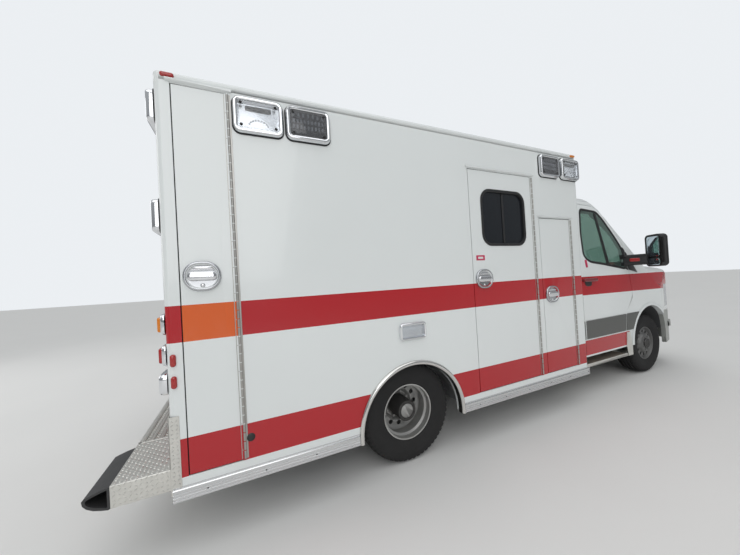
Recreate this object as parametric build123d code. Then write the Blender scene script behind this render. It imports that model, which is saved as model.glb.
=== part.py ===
from build123d import *
import math
import os

# Box ambulance on a cab chassis. Millimetres.
# Everything is drawn with X measured forward from the rear axle, Y to the left and Z up
# from the ground. The finished pieces are moved along X so that the origin lies under the
# middle of the whole vehicle.

# Running gear
WHEELBASE = 3665.0
# The cab is drawn with the front axle at CAB_AXLE_X and its rear edge at CAB_REAR. It, the
# engine and the front of the module stand further forward by FORE.
CAB_AXLE_X = 3665.0
CAB_REAR = 2154.0
FORE = WHEELBASE - CAB_AXLE_X
TYRE_RADIUS = 376.0
TYRE_WIDTH = 215.0
BEAD_RADIUS = 205.0
RIM_FLANGE_RADIUS = 219.0
RIM_WIDTH = 168.0
RIM_THICKNESS = 7.0
RIM_FLANGE = 3.0
DISC_THICKNESS = 9.0
FRONT_TYRE_Y = 837.0
OUTER_REAR_TYRE_Y = 890.0
INNER_REAR_TYRE_Y = 645.0
HUB_RADIUS = 62.0
FRONT_DISC_OFFSET = 88.0
AXLE_RADIUS = 52.0
SPINDLE_RADIUS = 32.0
RUNNING = 0.05
STEER_Y = 800.0
KINGPIN_RADIUS = 14.0
HAND_HOLE_RADIUS = 19.0
HAND_HOLE_CIRCLE = 150.0
HAND_HOLES = 12

# Frame rails
RAIL_Y = 400.0
RAIL_FLANGE = 70.0
RAIL_HEIGHT = 140.0
RAIL_TOP = 700.0
RAIL_WALL = 8.0
RAIL_FRONT = 4250.0 + FORE
CROSSMEMBER_LENGTH = 90.0
CROSSMEMBER_HEIGHT = 56.0
CROSSMEMBER_XS = (-1380.0, -620.0, 650.0, 1500.0 + FORE, 2300.0 + FORE, 4180.0 + FORE)

# Patient module
MODULE_REAR = -1504.0
MODULE_FRONT = CAB_REAR + FORE
MODULE_HALF_WIDTH = 1067.0
MODULE_TOP = 2604.5
MODULE_WALL = 50.0
BEYOND_Y = MODULE_HALF_WIDTH + 100.0
WITHIN_Y = MODULE_HALF_WIDTH - 150.0
MODULE_CORNER = 32.0
ROOF_THICKNESS = 55.0
SKIRT_BOTTOM = 296.0
PANEL_BOTTOM = 404.0
FLOOR_THICKNESS = 60.0
DOOR_GAP = 6.0
DOOR_BOTTOM = 412.0
ARCH_X = 14.0
ARCH_Z = 330.0
ARCH_RADIUS = 424.0
TRIM_WIDTH = 34.0
TRIM_PROUD = 22.0
RAIL_TRIM_PROUD = 12.0

# Openings in the module's sides: name, side, rear X, front X, bottom Z, top Z.
# The hinge is at the front edge of each.
SIDE_DOORS = (
    ("door_right_rear", -1, -1427.0, -1143.0, DOOR_BOTTOM, 2540.0),
    ("door_entry", -1, 647.0 + FORE, 1436.0 + FORE, DOOR_BOTTOM, 2299.0),
    ("door_right_front", -1, 1512.0 + FORE, 1992.0 + FORE, DOOR_BOTTOM, 1911.5),
    ("door_left_rear", 1, -1427.0, -843.0, DOOR_BOTTOM, 1911.5),
    ("door_left_front", 1, 1412.0 + FORE, 1992.0 + FORE, DOOR_BOTTOM, 1911.5),
)
COMPARTMENT_DEPTH = 420.0
COMPARTMENT_SHEET = 6.0
HINGE_RADIUS = 6.6
HINGE_PROUD = 6.0

# Handles: door, X, Z
HANDLES = (
    ("door_right_rear", -1316.0, 1480.0),
    ("door_entry", 765.0 + FORE, 1360.0),
    ("door_right_front", 1638.0 + FORE, 1167.0),
    ("door_left_rear", -1316.0, 1167.0),
    ("door_left_front", 1538.0 + FORE, 1167.0),
)
HANDLE_LENGTH = 182.0
HANDLE_HEIGHT = 160.0
HANDLE_PROUD = 16.0

# Entry door window
WINDOW_REAR = 789.0 + FORE
WINDOW_FRONT = 1308.0 + FORE
WINDOW_BOTTOM = 1655.0
WINDOW_TOP = 2126.0
WINDOW_CORNER = 92.0
PANE = 6.0

# Rear doors and step
BACK_DOOR_Y = 620.0
BACK_DOOR_BOTTOM = 742.0
BACK_DOOR_TOP = 2440.0
BACK_WINDOW_INNER = 120.0
BACK_WINDOW_OUTER = 500.0
BACK_WINDOW_BOTTOM = 1560.0
BACK_WINDOW_TOP = 2120.0
STEP_TOP = 470.0
STEP_REAR = -1757.0
STEP_THICKNESS = 110.0
STEP_CENTRE_Y = 660.0
STEP_SHEET = 4.0
BLOCK_INNER_Y = 690.0

# Lamps on the module's sides
LAMP_LENGTH = 283.0
LAMP_HEIGHT = 214.0
LAMP_CORNER = 40.0
LAMP_PROUD = 34.0
LAMP_BOTTOM = 2315.0
LAMP_RIM = 24.0
LAMP_XS = (-1121.0, -820.0, 1554.0 + FORE, 1869.0 + FORE)
SCENE_LAMP = (-93.0, 134.0, 947.0, 1073.0)

# Cab
CAB_HALF_WIDTH = 996.5
CAB_TOP = 2325.0
CAB_NOSE = 4669.0
CAB_BEYOND_Y = CAB_HALF_WIDTH + 100.0
CAB_WALL = 45.0
CAB_SILL = 430.0
CAB_FLOOR_Z = 780.0
CAB_ARCH_RADIUS = 440.0
CAB_ARCH_TOP = 874.0
CAB_GAP = 6.0
WINDSCREEN_BULGE_RADIUS = 1880.0
WINDSCREEN_BASE = (3905.0, 1385.0)
WINDSCREEN_HEAD = (2960.0, 2212.0)
CAB_PIN_RADIUS = 3.2
CAB_PIN_X = 3263.4
CAB_PIN_Y = 998.0
CAB_PIN_ZS = (1005.0, 1075.0)
HOOD_PIN_Z = 1393.0

OVERALL_REAR = -1863.0

os.makedirs("parts", exist_ok=True)


pieces = {}


def save(name, solid):
    """Keep a finished piece under its name."""
    pieces[name] = solid


def save_cab(name, solid):
    """Keep a piece drawn about the cab's own front axle, in its place on this wheelbase."""
    save(name, Pos(FORE, 0, 0) * solid)


def box(x0, x1, y0, y1, z0, z1):
    """A block between two corners."""
    place = Pos((x0 + x1) / 2, (y0 + y1) / 2, (z0 + z1) / 2)
    return place * Box(abs(x1 - x0), abs(y1 - y0), abs(z1 - z0))


def outline(points, radius=0.0):
    """A closed flat shape through points, with its corners rounded."""
    if radius == 0.0:
        return make_face(Polyline(*points, close=True))
    return make_face(FilletPolyline(*points, radius=radius, close=True))


def moved_in(points, distance):
    """A closed outline's corners after each of its edges moves inwards by a distance."""
    count = len(points)
    twice_area = sum(
        points[i][0] * points[(i + 1) % count][1] - points[(i + 1) % count][0] * points[i][1]
        for i in range(count)
    )
    turn = 1 if twice_area > 0 else -1
    corners = []
    for i in range(count):
        before, here, after = points[i - 1], points[i], points[(i + 1) % count]
        first = Vector(here[0] - before[0], here[1] - before[1]).normalized()
        second = Vector(after[0] - here[0], after[1] - here[1]).normalized()
        lean = turn * distance / (1 + first.dot(second))
        corners.append((
            here[0] - (first.Y + second.Y) * lean,
            here[1] + (first.X + second.X) * lean,
        ))
    return corners


def inset_outline(points, radii, distance):
    """A rounded outline with its edges moved inwards and its rounding kept concentric."""
    tighter = [max(radius - distance, 0) if radius else 0 for radius in radii]
    return outline(moved_in(points, distance), radius=tighter)


def side_prism(face, y0, y1):
    """A side-view shape (X, Z) carried from y0 to y1."""
    return extrude(Plane.XZ.offset(-max(y0, y1)) * face, amount=abs(y1 - y0))


def front_prism(face, x0, x1):
    """A front-view shape (Y, Z) carried from x0 to x1."""
    return extrude(Plane.YZ.offset(x0) * face, amount=x1 - x0)


def plan_prism(face, z0, z1):
    """A plan shape (X, Y) carried from z0 to z1."""
    return extrude(Plane.XY.offset(z0) * face, amount=z1 - z0)


def rounded_box(x0, x1, z0, z1, radius):
    """A rounded rectangle in side view."""
    face = RectangleRounded(x1 - x0, z1 - z0, radius)
    return Pos((x0 + x1) / 2, (z0 + z1) / 2) * face


def along_y(x, z, radius, y0, y1):
    """A round bar across the vehicle."""
    middle = (y0 + y1) / 2
    return Pos(x, middle, z) * Rot(90, 0, 0) * Cylinder(radius, abs(y1 - y0))


def along_x(y, z, radius, x0, x1):
    """A round bar along the vehicle."""
    middle = (x0 + x1) / 2
    return Pos(middle, y, z) * Rot(0, 90, 0) * Cylinder(radius, abs(x1 - x0))


def turned(points, x, z):
    """A profile of (Y, radius) points turned about a wheel's axis."""
    face = Plane.YZ * outline(points)
    return Pos(x, 0, z) * revolve(face, axis=Axis.Y)


def both_sides(solid):
    """A piece and its mirror image on the other side."""
    return solid + mirror(solid, about=Plane.XZ)


def tyre(x, middle_y):
    """A tyre, with a flat tread, rounded shoulders and a bulged sidewall."""
    half = TYRE_WIDTH / 2
    crown = TYRE_RADIUS
    bead = RIM_WIDTH / 2 - RIM_FLANGE
    points = (
        (middle_y - bead, BEAD_RADIUS),
        (middle_y - bead, RIM_FLANGE_RADIUS + 3),
        (middle_y - half * 0.97, BEAD_RADIUS + 62),
        (middle_y - half, BEAD_RADIUS + 96),
        (middle_y - half * 0.93, crown - 26),
        (middle_y - half * 0.80, crown - 5),
        (middle_y - half * 0.70, crown),
        (middle_y + half * 0.70, crown),
        (middle_y + half * 0.80, crown - 5),
        (middle_y + half * 0.93, crown - 26),
        (middle_y + half, BEAD_RADIUS + 96),
        (middle_y + half * 0.97, BEAD_RADIUS + 62),
        (middle_y + bead, RIM_FLANGE_RADIUS + 3),
        (middle_y + bead, BEAD_RADIUS),
    )
    return turned(points, x, TYRE_RADIUS)


def rim_barrel(x, middle_y):
    """The drop-centre barrel of a steel wheel, seated in the tyre's bead."""
    half = RIM_WIDTH / 2
    seat = BEAD_RADIUS
    wall = RIM_THICKNESS
    flange = RIM_FLANGE_RADIUS
    points = (
        (middle_y - half, flange),
        (middle_y - half, seat - wall),
        (middle_y - half * 0.45, seat - wall),
        (middle_y - half * 0.35, seat - wall - 16),
        (middle_y + half * 0.35, seat - wall - 16),
        (middle_y + half * 0.45, seat - wall),
        (middle_y + half, seat - wall),
        (middle_y + half, flange),
        (middle_y + half - RIM_FLANGE, flange),
        (middle_y + half - RIM_FLANGE, seat),
        (middle_y + half * 0.50, seat),
        (middle_y + half * 0.40, seat - 16),
        (middle_y - half * 0.40, seat - 16),
        (middle_y - half * 0.50, seat),
        (middle_y - half + RIM_FLANGE, seat),
        (middle_y - half + RIM_FLANGE, flange),
    )
    return turned(points, x, TYRE_RADIUS)


def wheel_disc(x, face_y, out):
    """A wheel's disc: a flat centre, a shallow cone, and a ring of hand holes."""
    edge = BEAD_RADIUS - RIM_THICKNESS / 2
    t = DISC_THICKNESS
    points = (
        (face_y, SPINDLE_RADIUS + RUNNING),
        (face_y, 105.0),
        (face_y + out * 34, 128.0),
        (face_y + out * 34, 170.0),
        (face_y + out * 45, edge),
        (face_y + out * (45 - t), edge),
        (face_y + out * (34 - t), 170.0 - 4),
        (face_y + out * (34 - t), 128.0 + 4),
        (face_y - out * t, 105.0 + 2),
        (face_y - out * t, SPINDLE_RADIUS + RUNNING),
    )
    disc = turned(points, x, TYRE_RADIUS)
    for step in range(HAND_HOLES):
        angle = 2 * math.pi * step / HAND_HOLES
        hole_x = x + HAND_HOLE_CIRCLE * math.cos(angle)
        hole_z = TYRE_RADIUS + HAND_HOLE_CIRCLE * math.sin(angle)
        disc -= along_y(hole_x, hole_z, HAND_HOLE_RADIUS, face_y - 80, face_y + 80)
    return disc


def hub(x, y0, y1, radius):
    """A hub with its bore for the spindle, closed at its outer end."""
    bore = SPINDLE_RADIUS + RUNNING
    cap = y1 - 14 * (1 if y1 > y0 else -1)
    return along_y(x, TYRE_RADIUS, radius, y0, y1) - along_y(x, TYRE_RADIUS, bore, y0, cap)


# Wheels, on each side. The twin rear wheels turn as one.
REAR_DISC_Y = (OUTER_REAR_TYRE_Y + INNER_REAR_TYRE_Y) / 2
FRONT_DISC_Y = FRONT_TYRE_Y + FRONT_DISC_OFFSET
REAR_HUB_END = OUTER_REAR_TYRE_Y + 66
FRONT_HUB_END = FRONT_TYRE_Y + 112
for side, sign in (("right", -1), ("left", 1)):
    save(f"tyre_front_{side}", tyre(WHEELBASE, sign * FRONT_TYRE_Y))
    outer_tyre = tyre(0, sign * OUTER_REAR_TYRE_Y)
    save(f"tyres_rear_{side}", Compound([outer_tyre, tyre(0, sign * INNER_REAR_TYRE_Y)]))

    front_rim = rim_barrel(WHEELBASE, sign * FRONT_TYRE_Y)
    front_rim += wheel_disc(WHEELBASE, sign * FRONT_DISC_Y, -sign)
    front_rim += hub(WHEELBASE, sign * (FRONT_DISC_Y - 45), sign * FRONT_HUB_END, HUB_RADIUS)
    save(f"rim_front_{side}", front_rim)

    rear_rim = rim_barrel(0, sign * OUTER_REAR_TYRE_Y) + rim_barrel(0, sign * INNER_REAR_TYRE_Y)
    rear_rim += wheel_disc(0, sign * (REAR_DISC_Y + 9), sign)
    rear_rim += wheel_disc(0, sign * (REAR_DISC_Y - 9), -sign)
    rear_rim += hub(0, sign * (REAR_DISC_Y - 18), sign * REAR_HUB_END, HUB_RADIUS + 14)
    save(f"rims_rear_{side}", rear_rim)

# Rear axle with its differential and the leaf springs that carry the frame
SPRING_Y = 475.0
SPRING_WIDTH = 70.0
SPRING_HALF_LENGTH = 640.0
SPRING_EYE_Z = 545.0
rear_axle = along_y(0, TYRE_RADIUS, AXLE_RADIUS, -560, 560)
rear_axle += along_y(0, TYRE_RADIUS, SPINDLE_RADIUS, -(REAR_HUB_END - 20), REAR_HUB_END - 20)
rear_axle += Pos(20, 0, TYRE_RADIUS) * Sphere(150)
spring_face = outline((
    (-SPRING_HALF_LENGTH, SPRING_EYE_Z),
    (-250, TYRE_RADIUS + 76),
    (250, TYRE_RADIUS + 76),
    (SPRING_HALF_LENGTH, SPRING_EYE_Z),
    (SPRING_HALF_LENGTH, SPRING_EYE_Z - 22),
    (250, TYRE_RADIUS + 30),
    (-250, TYRE_RADIUS + 30),
    (-SPRING_HALF_LENGTH, SPRING_EYE_Z - 22),
))
spring = side_prism(spring_face, SPRING_Y - SPRING_WIDTH / 2, SPRING_Y + SPRING_WIDTH / 2)
for end in (-1, 1):
    spring += along_y(
        end * SPRING_HALF_LENGTH, SPRING_EYE_Z, 28, RAIL_Y, SPRING_Y + SPRING_WIDTH / 2
    )
rear_axle += both_sides(spring)
save("rear_axle", rear_axle)

# Ladder frame: two channels open inwards, joined by crossmembers
rail_inner = RAIL_Y - RAIL_FLANGE
rail_rear = MODULE_REAR + MODULE_WALL
rail = box(rail_rear, RAIL_FRONT, rail_inner, RAIL_Y, RAIL_TOP - RAIL_HEIGHT, RAIL_TOP)
rail -= box(
    rail_rear, RAIL_FRONT, rail_inner, RAIL_Y - RAIL_WALL,
    RAIL_TOP - RAIL_HEIGHT + RAIL_WALL, RAIL_TOP - RAIL_WALL,
)
frame_rails = both_sides(rail)
for x in CROSSMEMBER_XS:
    frame_rails += box(
        x - CROSSMEMBER_LENGTH / 2, x + CROSSMEMBER_LENGTH / 2,
        -(RAIL_Y - RAIL_WALL), RAIL_Y - RAIL_WALL,
        RAIL_TOP - CROSSMEMBER_HEIGHT, RAIL_TOP - RAIL_WALL,
    )
save("frame_rails", frame_rails)

# Engine and gearbox as plain blocks, with the drive shaft to the axle
ENGINE = (3330.0 + FORE, 4080.0 + FORE, 260.0, 440.0, 1120.0)
GEARBOX_REAR = 2420.0 + FORE
drivetrain = box(ENGINE[0], ENGINE[1], -ENGINE[2], ENGINE[2], ENGINE[3], ENGINE[4])
drivetrain += along_x(0, 620, 150, GEARBOX_REAR, ENGINE[0])
engine_mounts = box(ENGINE[0] + 270, ENGINE[0] + 370, -(RAIL_Y - RAIL_WALL), RAIL_Y - RAIL_WALL, 600, 640)
drivetrain += engine_mounts
shaft_rear = 172.0
shaft_rise = 600.0 - TYRE_RADIUS
shaft_length = math.hypot(GEARBOX_REAR - shaft_rear, shaft_rise)
shaft_tilt = math.degrees(math.atan2(shaft_rise, GEARBOX_REAR - shaft_rear))
shaft_middle = Pos((GEARBOX_REAR + shaft_rear) / 2, 0, (600.0 + TYRE_RADIUS) / 2)
drivetrain += shaft_middle * Rot(0, 90 - shaft_tilt, 0) * Cylinder(42, shaft_length + 20)
drivetrain -= rear_axle
save("drivetrain", drivetrain)

# Fuel tank between the rails behind the axle, and the exhaust
FUEL_TANK = (-1290.0, -710.0, 318.0, 410.0, RAIL_TOP)
tank = box(FUEL_TANK[0], FUEL_TANK[1], -FUEL_TANK[2], FUEL_TANK[2], FUEL_TANK[3], FUEL_TANK[4])
save("fuel_tank", fillet(tank.edges().filter_by(Axis.Y), 50))

EXHAUST_Y = -200.0
EXHAUST_Z = 490.0
exhaust = along_x(EXHAUST_Y, EXHAUST_Z, 36, 720, ENGINE[0])
exhaust += along_x(EXHAUST_Y, EXHAUST_Z, 70, 900, 1450)
save("exhaust", exhaust)

# Front suspension: a subframe beam with an arm to each kingpin
ARM_Z = 240.0
ARM_THICKNESS = 30.0
KINGPIN_TOP = 452.0
suspension = box(WHEELBASE - 110, WHEELBASE + 110, -RAIL_Y, RAIL_Y, 300, 400)
for sign in (-1, 1):
    suspension += box(
        WHEELBASE - 90, WHEELBASE + 90, sign * (RAIL_Y - 70), sign * RAIL_Y, 400,
        RAIL_TOP - RAIL_HEIGHT,
    )
    arm = outline((
        (WHEELBASE - 150, sign * (RAIL_Y - 60)),
        (WHEELBASE + 150, sign * (RAIL_Y - 60)),
        (WHEELBASE + 34, sign * (STEER_Y - 90)),
        (WHEELBASE + 34, sign * (STEER_Y + 30)),
        (WHEELBASE - 34, sign * (STEER_Y + 30)),
        (WHEELBASE - 34, sign * (STEER_Y - 90)),
    ))
    suspension += plan_prism(arm, ARM_Z, ARM_Z + ARM_THICKNESS)
    pad = box(
        WHEELBASE - 150, WHEELBASE + 150, sign * (RAIL_Y - 60), sign * RAIL_Y, ARM_Z, 300
    )
    suspension += pad
    pin = Pos(WHEELBASE, sign * STEER_Y, (ARM_Z + KINGPIN_TOP) / 2)
    suspension += pin * Cylinder(KINGPIN_RADIUS, KINGPIN_TOP - ARM_Z)
save("front_suspension", suspension)

# Knuckles: an upright bored for the kingpin, with the wheel's spindle
for side, sign in (("right", -1), ("left", 1)):
    upright = box(
        WHEELBASE - 46, WHEELBASE + 46, sign * (STEER_Y - 46), sign * (STEER_Y + 34),
        ARM_Z + ARM_THICKNESS + 5, KINGPIN_TOP,
    )
    upright += along_y(
        WHEELBASE, TYRE_RADIUS, SPINDLE_RADIUS, sign * (STEER_Y + 30), sign * (FRONT_HUB_END - 20)
    )
    bore = Pos(WHEELBASE, sign * STEER_Y, (ARM_Z + KINGPIN_TOP) / 2)
    save(f"knuckle_{side}", upright - bore * Cylinder(KINGPIN_RADIUS + RUNNING, 400))


# Cab body. Its form is three views met together: side, front and plan.
def cab_plan(inset):
    """The cab seen from above."""
    plan_half_width = CAB_HALF_WIDTH + 2
    return inset_outline((
        (CAB_REAR - 400, -plan_half_width),
        (3980, -plan_half_width),
        (4430, -900),
        (4610, -640),
        (CAB_NOSE, -150),
        (CAB_NOSE, 150),
        (4610, 640),
        (4430, 900),
        (3980, plan_half_width),
        (CAB_REAR - 400, plan_half_width),
    ), (0, 660, 320, 500, 1500, 1500, 500, 320, 660, 0), inset)


def cab_lower(inset):
    """The cab's solid form below its windows, with its nose."""
    lower_side = inset_outline((
        (CAB_REAR - 400, 200),
        (CAB_REAR - 400, 1500),
        (3700, 1425),
        (4060, 1378),
        (4440, 1215),
        (4600, 1020),
        (4655, 760),
        (CAB_NOSE, 660),
        (CAB_NOSE, 520),
        (4640, 360),
        (4560, 200),
    ), (0, 0, 300, 400, 250, 250, 100, 60, 60, 60, 0), inset)
    lower_front = inset_outline((
        (-CAB_HALF_WIDTH, 100),
        (-CAB_HALF_WIDTH, 1080),
        (-955, 1330),
        (-730, 1405),
        (730, 1405),
        (955, 1330),
        (CAB_HALF_WIDTH, 1080),
        (CAB_HALF_WIDTH, 100),
    ), (0, 500, 90, 400, 400, 90, 500, 0), inset)
    lower = side_prism(lower_side, -CAB_BEYOND_Y, CAB_BEYOND_Y)
    lower &= front_prism(lower_front, CAB_REAR - 300, 5000)
    return lower & plan_prism(cab_plan(inset), 0, 3000)


def cab_form(inset):
    """The whole cab's solid form, all its faces moved in by inset."""
    upper_side = inset_outline((
        (CAB_REAR - 400, 900),
        (CAB_REAR - 400, CAB_TOP - 20),
        (2560, CAB_TOP),
        WINDSCREEN_HEAD,
        WINDSCREEN_BASE,
        (4100, 1215),
        (4100, 900),
    ), (0, 0, 1500, 160, 0, 0, 0), inset)
    upper_front = inset_outline((
        (-CAB_HALF_WIDTH, 700),
        (-CAB_HALF_WIDTH, 1080),
        (-968, 1420),
        (-884, 2100),
        (-815, 2255),
        (-500, CAB_TOP - 8),
        (500, CAB_TOP - 8),
        (815, 2255),
        (884, 2100),
        (968, 1420),
        (CAB_HALF_WIDTH, 1080),
        (CAB_HALF_WIDTH, 700),
    ), (0, 500, 700, 150, 180, 1500, 1500, 180, 150, 700, 500, 0), inset)
    upper = side_prism(upper_side, -CAB_BEYOND_Y, CAB_BEYOND_Y) & front_prism(upper_front, CAB_REAR - 300, 5000)
    upper &= plan_prism(cab_plan(inset), 0, 3000)
    # The windscreen bows forward: a drum leaning along the screen's rake
    rake_x = WINDSCREEN_HEAD[0] - WINDSCREEN_BASE[0]
    rake_z = WINDSCREEN_HEAD[1] - WINDSCREEN_BASE[1]
    drum_face = Pos(WINDSCREEN_BASE[0] - WINDSCREEN_BULGE_RADIUS - inset * 1.5, 0)
    drum_face *= Circle(WINDSCREEN_BULGE_RADIUS)
    start = Plane.XY.offset(WINDSCREEN_BASE[1])
    low = Pos(-rake_x, 0, -rake_z)
    drum = extrude(low * start * drum_face, amount=2600, dir=(rake_x, 0, rake_z))
    upper &= drum
    return cab_lower(inset) + upper


outer = cab_form(0)
inner = cab_form(CAB_WALL)
trim = box(CAB_REAR, 5000, -CAB_BEYOND_Y, CAB_BEYOND_Y, CAB_SILL, 3000)
shell = (outer - inner) & trim

arch_z = CAB_ARCH_TOP - CAB_ARCH_RADIUS
arch = along_y(CAB_AXLE_X, arch_z, CAB_ARCH_RADIUS, -CAB_BEYOND_Y, CAB_BEYOND_Y)
arch += box(CAB_AXLE_X - CAB_ARCH_RADIUS, CAB_AXLE_X + CAB_ARCH_RADIUS, -CAB_BEYOND_Y, CAB_BEYOND_Y, 0, arch_z)
FLARE_WIDTH = 36.0
FLARE_PROUD = 9.0
flare_radius = CAB_ARCH_RADIUS + FLARE_WIDTH
flare = along_y(CAB_AXLE_X, arch_z, flare_radius, -CAB_BEYOND_Y, CAB_BEYOND_Y)
flare += box(
    CAB_AXLE_X - flare_radius, CAB_AXLE_X + flare_radius, -CAB_BEYOND_Y, CAB_BEYOND_Y,
    CAB_SILL, arch_z,
)
flare &= cab_lower(-FLARE_PROUD) & box(CAB_REAR, 5000, -CAB_BEYOND_Y, CAB_BEYOND_Y, CAB_SILL, 3000)
shell += flare - inner
shell -= arch

DOOR_OUTLINE = (
    (2265, CAB_SILL - 100),
    (2265, 2060),
    (2320, 2165),
    (2800, 2140),
    (2925, 2045),
    (3190, 1740),
    (3260, 1600),
    (3260, 1000),
    (3095, 818),
    (3010, CAB_SILL - 100),
)
CAB_WINDOW = (
    (2500, 2088),
    (2428, 1800),
    (2400, 1540),
    (2490, 1474),
    (2705, 1447),
    (3067, 1391),
    (3205, 1368),
    (3205, 1610),
    (3106, 1752),
    (2916, 1981),
    (2813, 2067),
)
door_face = outline(DOOR_OUTLINE, radius=(0, 30, 60, 60, 60, 90, 60, 60, 40, 0))
window_face = outline(CAB_WINDOW, radius=24)
door_hole = offset(door_face, amount=CAB_GAP, kind=Kind.INTERSECTION)

WINDSCREEN_OUTLINE = (
    (-905, 1462),
    (-860, 1700),
    (-745, 2172),
    (745, 2172),
    (860, 1700),
    (905, 1462),
)
screen_hole = front_prism(outline(WINDSCREEN_OUTLINE, radius=50), 2700, 4300)
screen_hole &= box(2890, 4300, -CAB_BEYOND_Y, CAB_BEYOND_Y, 1440, 2190)

HOOD_REAR = 3955.0
HOOD_OUTLINE = (
    (HOOD_REAR, -780),
    (4300, -740),
    (4520, -560),
    (4560, 0),
    (4520, 560),
    (4300, 740),
    (HOOD_REAR, 780),
)
HOOD_WALL = 26.0
hood_face = outline(HOOD_OUTLINE, radius=(20, 200, 120, 900, 120, 200, 20))
hood_hole = offset(hood_face, amount=CAB_GAP, kind=Kind.INTERSECTION)

LAMP_ZS = (820.0, 1120.0)
GRILLE_Y = 560.0
BUMPER_TOP = 770.0
headlamp_zone = box(4130, 4800, 610, 1000, LAMP_ZS[0], LAMP_ZS[1])
headlamp_zone = both_sides(headlamp_zone)
grille_zone = box(4400, 4800, -GRILLE_Y, GRILLE_Y, LAMP_ZS[0], 1040)
bumper_zone = box(4000, 4800, -CAB_BEYOND_Y, CAB_BEYOND_Y, 0, BUMPER_TOP)

BULKHEAD_X = 3300.0
CLADDING_PROUD = 8.0
CLADDING_ZS = (622.0, 822.0)
DOOR_PULL_XS = (2290.0, 2530.0)
DOOR_PULL_Y = 1006.0
DOOR_PULL_ZS = (1250.0, 1281.0)
skin_inner = cab_form(PANE)
hood_inner = cab_form(HOOD_WALL)
doors = {}
panes = {}
for side, sign in (("right", -1), ("left", 1)):
    y_range = (sign * 700, sign * CAB_BEYOND_Y)
    doors[side] = shell & side_prism(door_face, *y_range)
    doors[side] -= side_prism(window_face, *y_range)
    cladding = box(
        CAB_REAR, BULKHEAD_X, sign * (CAB_HALF_WIDTH - 6), sign * (CAB_HALF_WIDTH + CLADDING_PROUD),
        *CLADDING_ZS,
    )
    doors[side] += cladding & side_prism(door_face, *y_range)
    doors[side] += box(
        *DOOR_PULL_XS, sign * (DOOR_PULL_Y - 12), sign * DOOR_PULL_Y, *DOOR_PULL_ZS
    )
    for foot in (DOOR_PULL_XS[0], DOOR_PULL_XS[1] - 40):
        doors[side] += box(
            foot, foot + 40, sign * (DOOR_PULL_Y - 36), sign * DOOR_PULL_Y, *DOOR_PULL_ZS
        )
    panes[side] = (outer - skin_inner) & side_prism(window_face, *y_range)
    shell -= side_prism(door_hole, *y_range)
    shell += Pos(CAB_PIN_X, sign * CAB_PIN_Y, sum(CAB_PIN_ZS) / 2) * Cylinder(
        CAB_PIN_RADIUS, CAB_PIN_ZS[1] - CAB_PIN_ZS[0]
    )
windscreen = (outer - skin_inner) & screen_hole
shell -= screen_hole
hood = (outer - hood_inner) & plan_prism(hood_face, 1000, 1500)
shell -= plan_prism(hood_hole, 1000, 1500)
for sign in (-1, 1):
    shell += along_y(HOOD_REAR - 3.4, HOOD_PIN_Z, CAB_PIN_RADIUS, sign * 300, sign * 380)
headlamps = shell & headlamp_zone
shell -= headlamp_zone
grille_block = shell & grille_zone
shell -= grille_zone
bumper = ((outer - inner) - arch) & bumper_zone & box(CAB_REAR, 5000, -CAB_BEYOND_Y, CAB_BEYOND_Y, 330, 3000)
shell -= bumper_zone
FOG_LAMP_RADIUS = 46.0
FOG_LAMP_PLACE = (4300.0, 905.0, 560.0)
for sign in (-1, 1):
    fog_lamp = Pos(FOG_LAMP_PLACE[0], sign * FOG_LAMP_PLACE[1], FOG_LAMP_PLACE[2])
    fog_lamp *= Rot(0, 90, sign * 35) * Cylinder(FOG_LAMP_RADIUS, 280)
    bumper += fog_lamp & cab_lower(-22) & box(4300, 5000, -CAB_BEYOND_Y, CAB_BEYOND_Y, 330, BUMPER_TOP)

grille = grille_block
SLATS = 4
slat_pitch = (1040 - LAMP_ZS[0]) / (SLATS + 1)
for step in range(SLATS + 1):
    low = LAMP_ZS[0] + slat_pitch * step + 14
    grille -= box(4400, 4800, -(GRILLE_Y - 20), GRILLE_Y - 20, low, low + slat_pitch - 20)

save_cab("cab_shell", shell)
save_cab("windscreen", windscreen)
save_cab("hood", hood)
save_cab("headlamps", headlamps)
save_cab("grille", grille)
save_cab("front_bumper", bumper)
for side in ("right", "left"):
    save_cab(f"cab_door_{side}", doors[side])
    save_cab(f"cab_glass_{side}", panes[side])

# Cab interior: floor, bulkhead, seat pedestals, dashboard and the front wheel housings
FLOOR_SHEET = 40.0
INTERIOR_CLEAR_Y = 935.0
interior = box(CAB_REAR, BULKHEAD_X, -1000, 1000, CAB_FLOOR_Z - FLOOR_SHEET, CAB_FLOOR_Z)
interior += box(BULKHEAD_X - 20, BULKHEAD_X, -1000, 1000, CAB_FLOOR_Z - FLOOR_SHEET, 1330)
dash_face = outline((
    (BULKHEAD_X, 1000), (3060, 1010), (3000, 1180), (3070, 1310), (BULKHEAD_X, 1370),
    (3700, 1390), (3700, 1350), (BULKHEAD_X, 1330),
))
interior += side_prism(dash_face, -880, 880)
for sign in (-1, 1):
    interior += box(2480, 2860, sign * 260, sign * 730, CAB_FLOOR_Z, 1000)
    interior -= side_prism(door_hole, sign * INTERIOR_CLEAR_Y, sign * CAB_BEYOND_Y)
    liner = along_y(CAB_AXLE_X, arch_z, CAB_ARCH_RADIUS + 6, sign * 540, sign * 1000)
    liner &= box(3000, 4300, -1000, 1000, 520, 1000)
    interior += liner
interior -= arch
interior &= inner
interior -= Pos(-FORE, 0, 0) * drivetrain

# Seats: a cushion and a backrest each
seats = []
for sign in (-1, 1):
    cushion = box(2420, 2930, sign * 245, sign * 745, 1000, 1130)
    back_face = outline((
        (2420, 1130.3), (2560, 1130.3), (2440, 1700), (2420, 1850), (2330, 1850), (2320, 1700),
    ), radius=20)
    back = side_prism(back_face, sign * 260, sign * 730)
    seats += [fillet(cushion.edges(), 30), back]
save_cab("cab_seats", Compound(seats))

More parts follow.
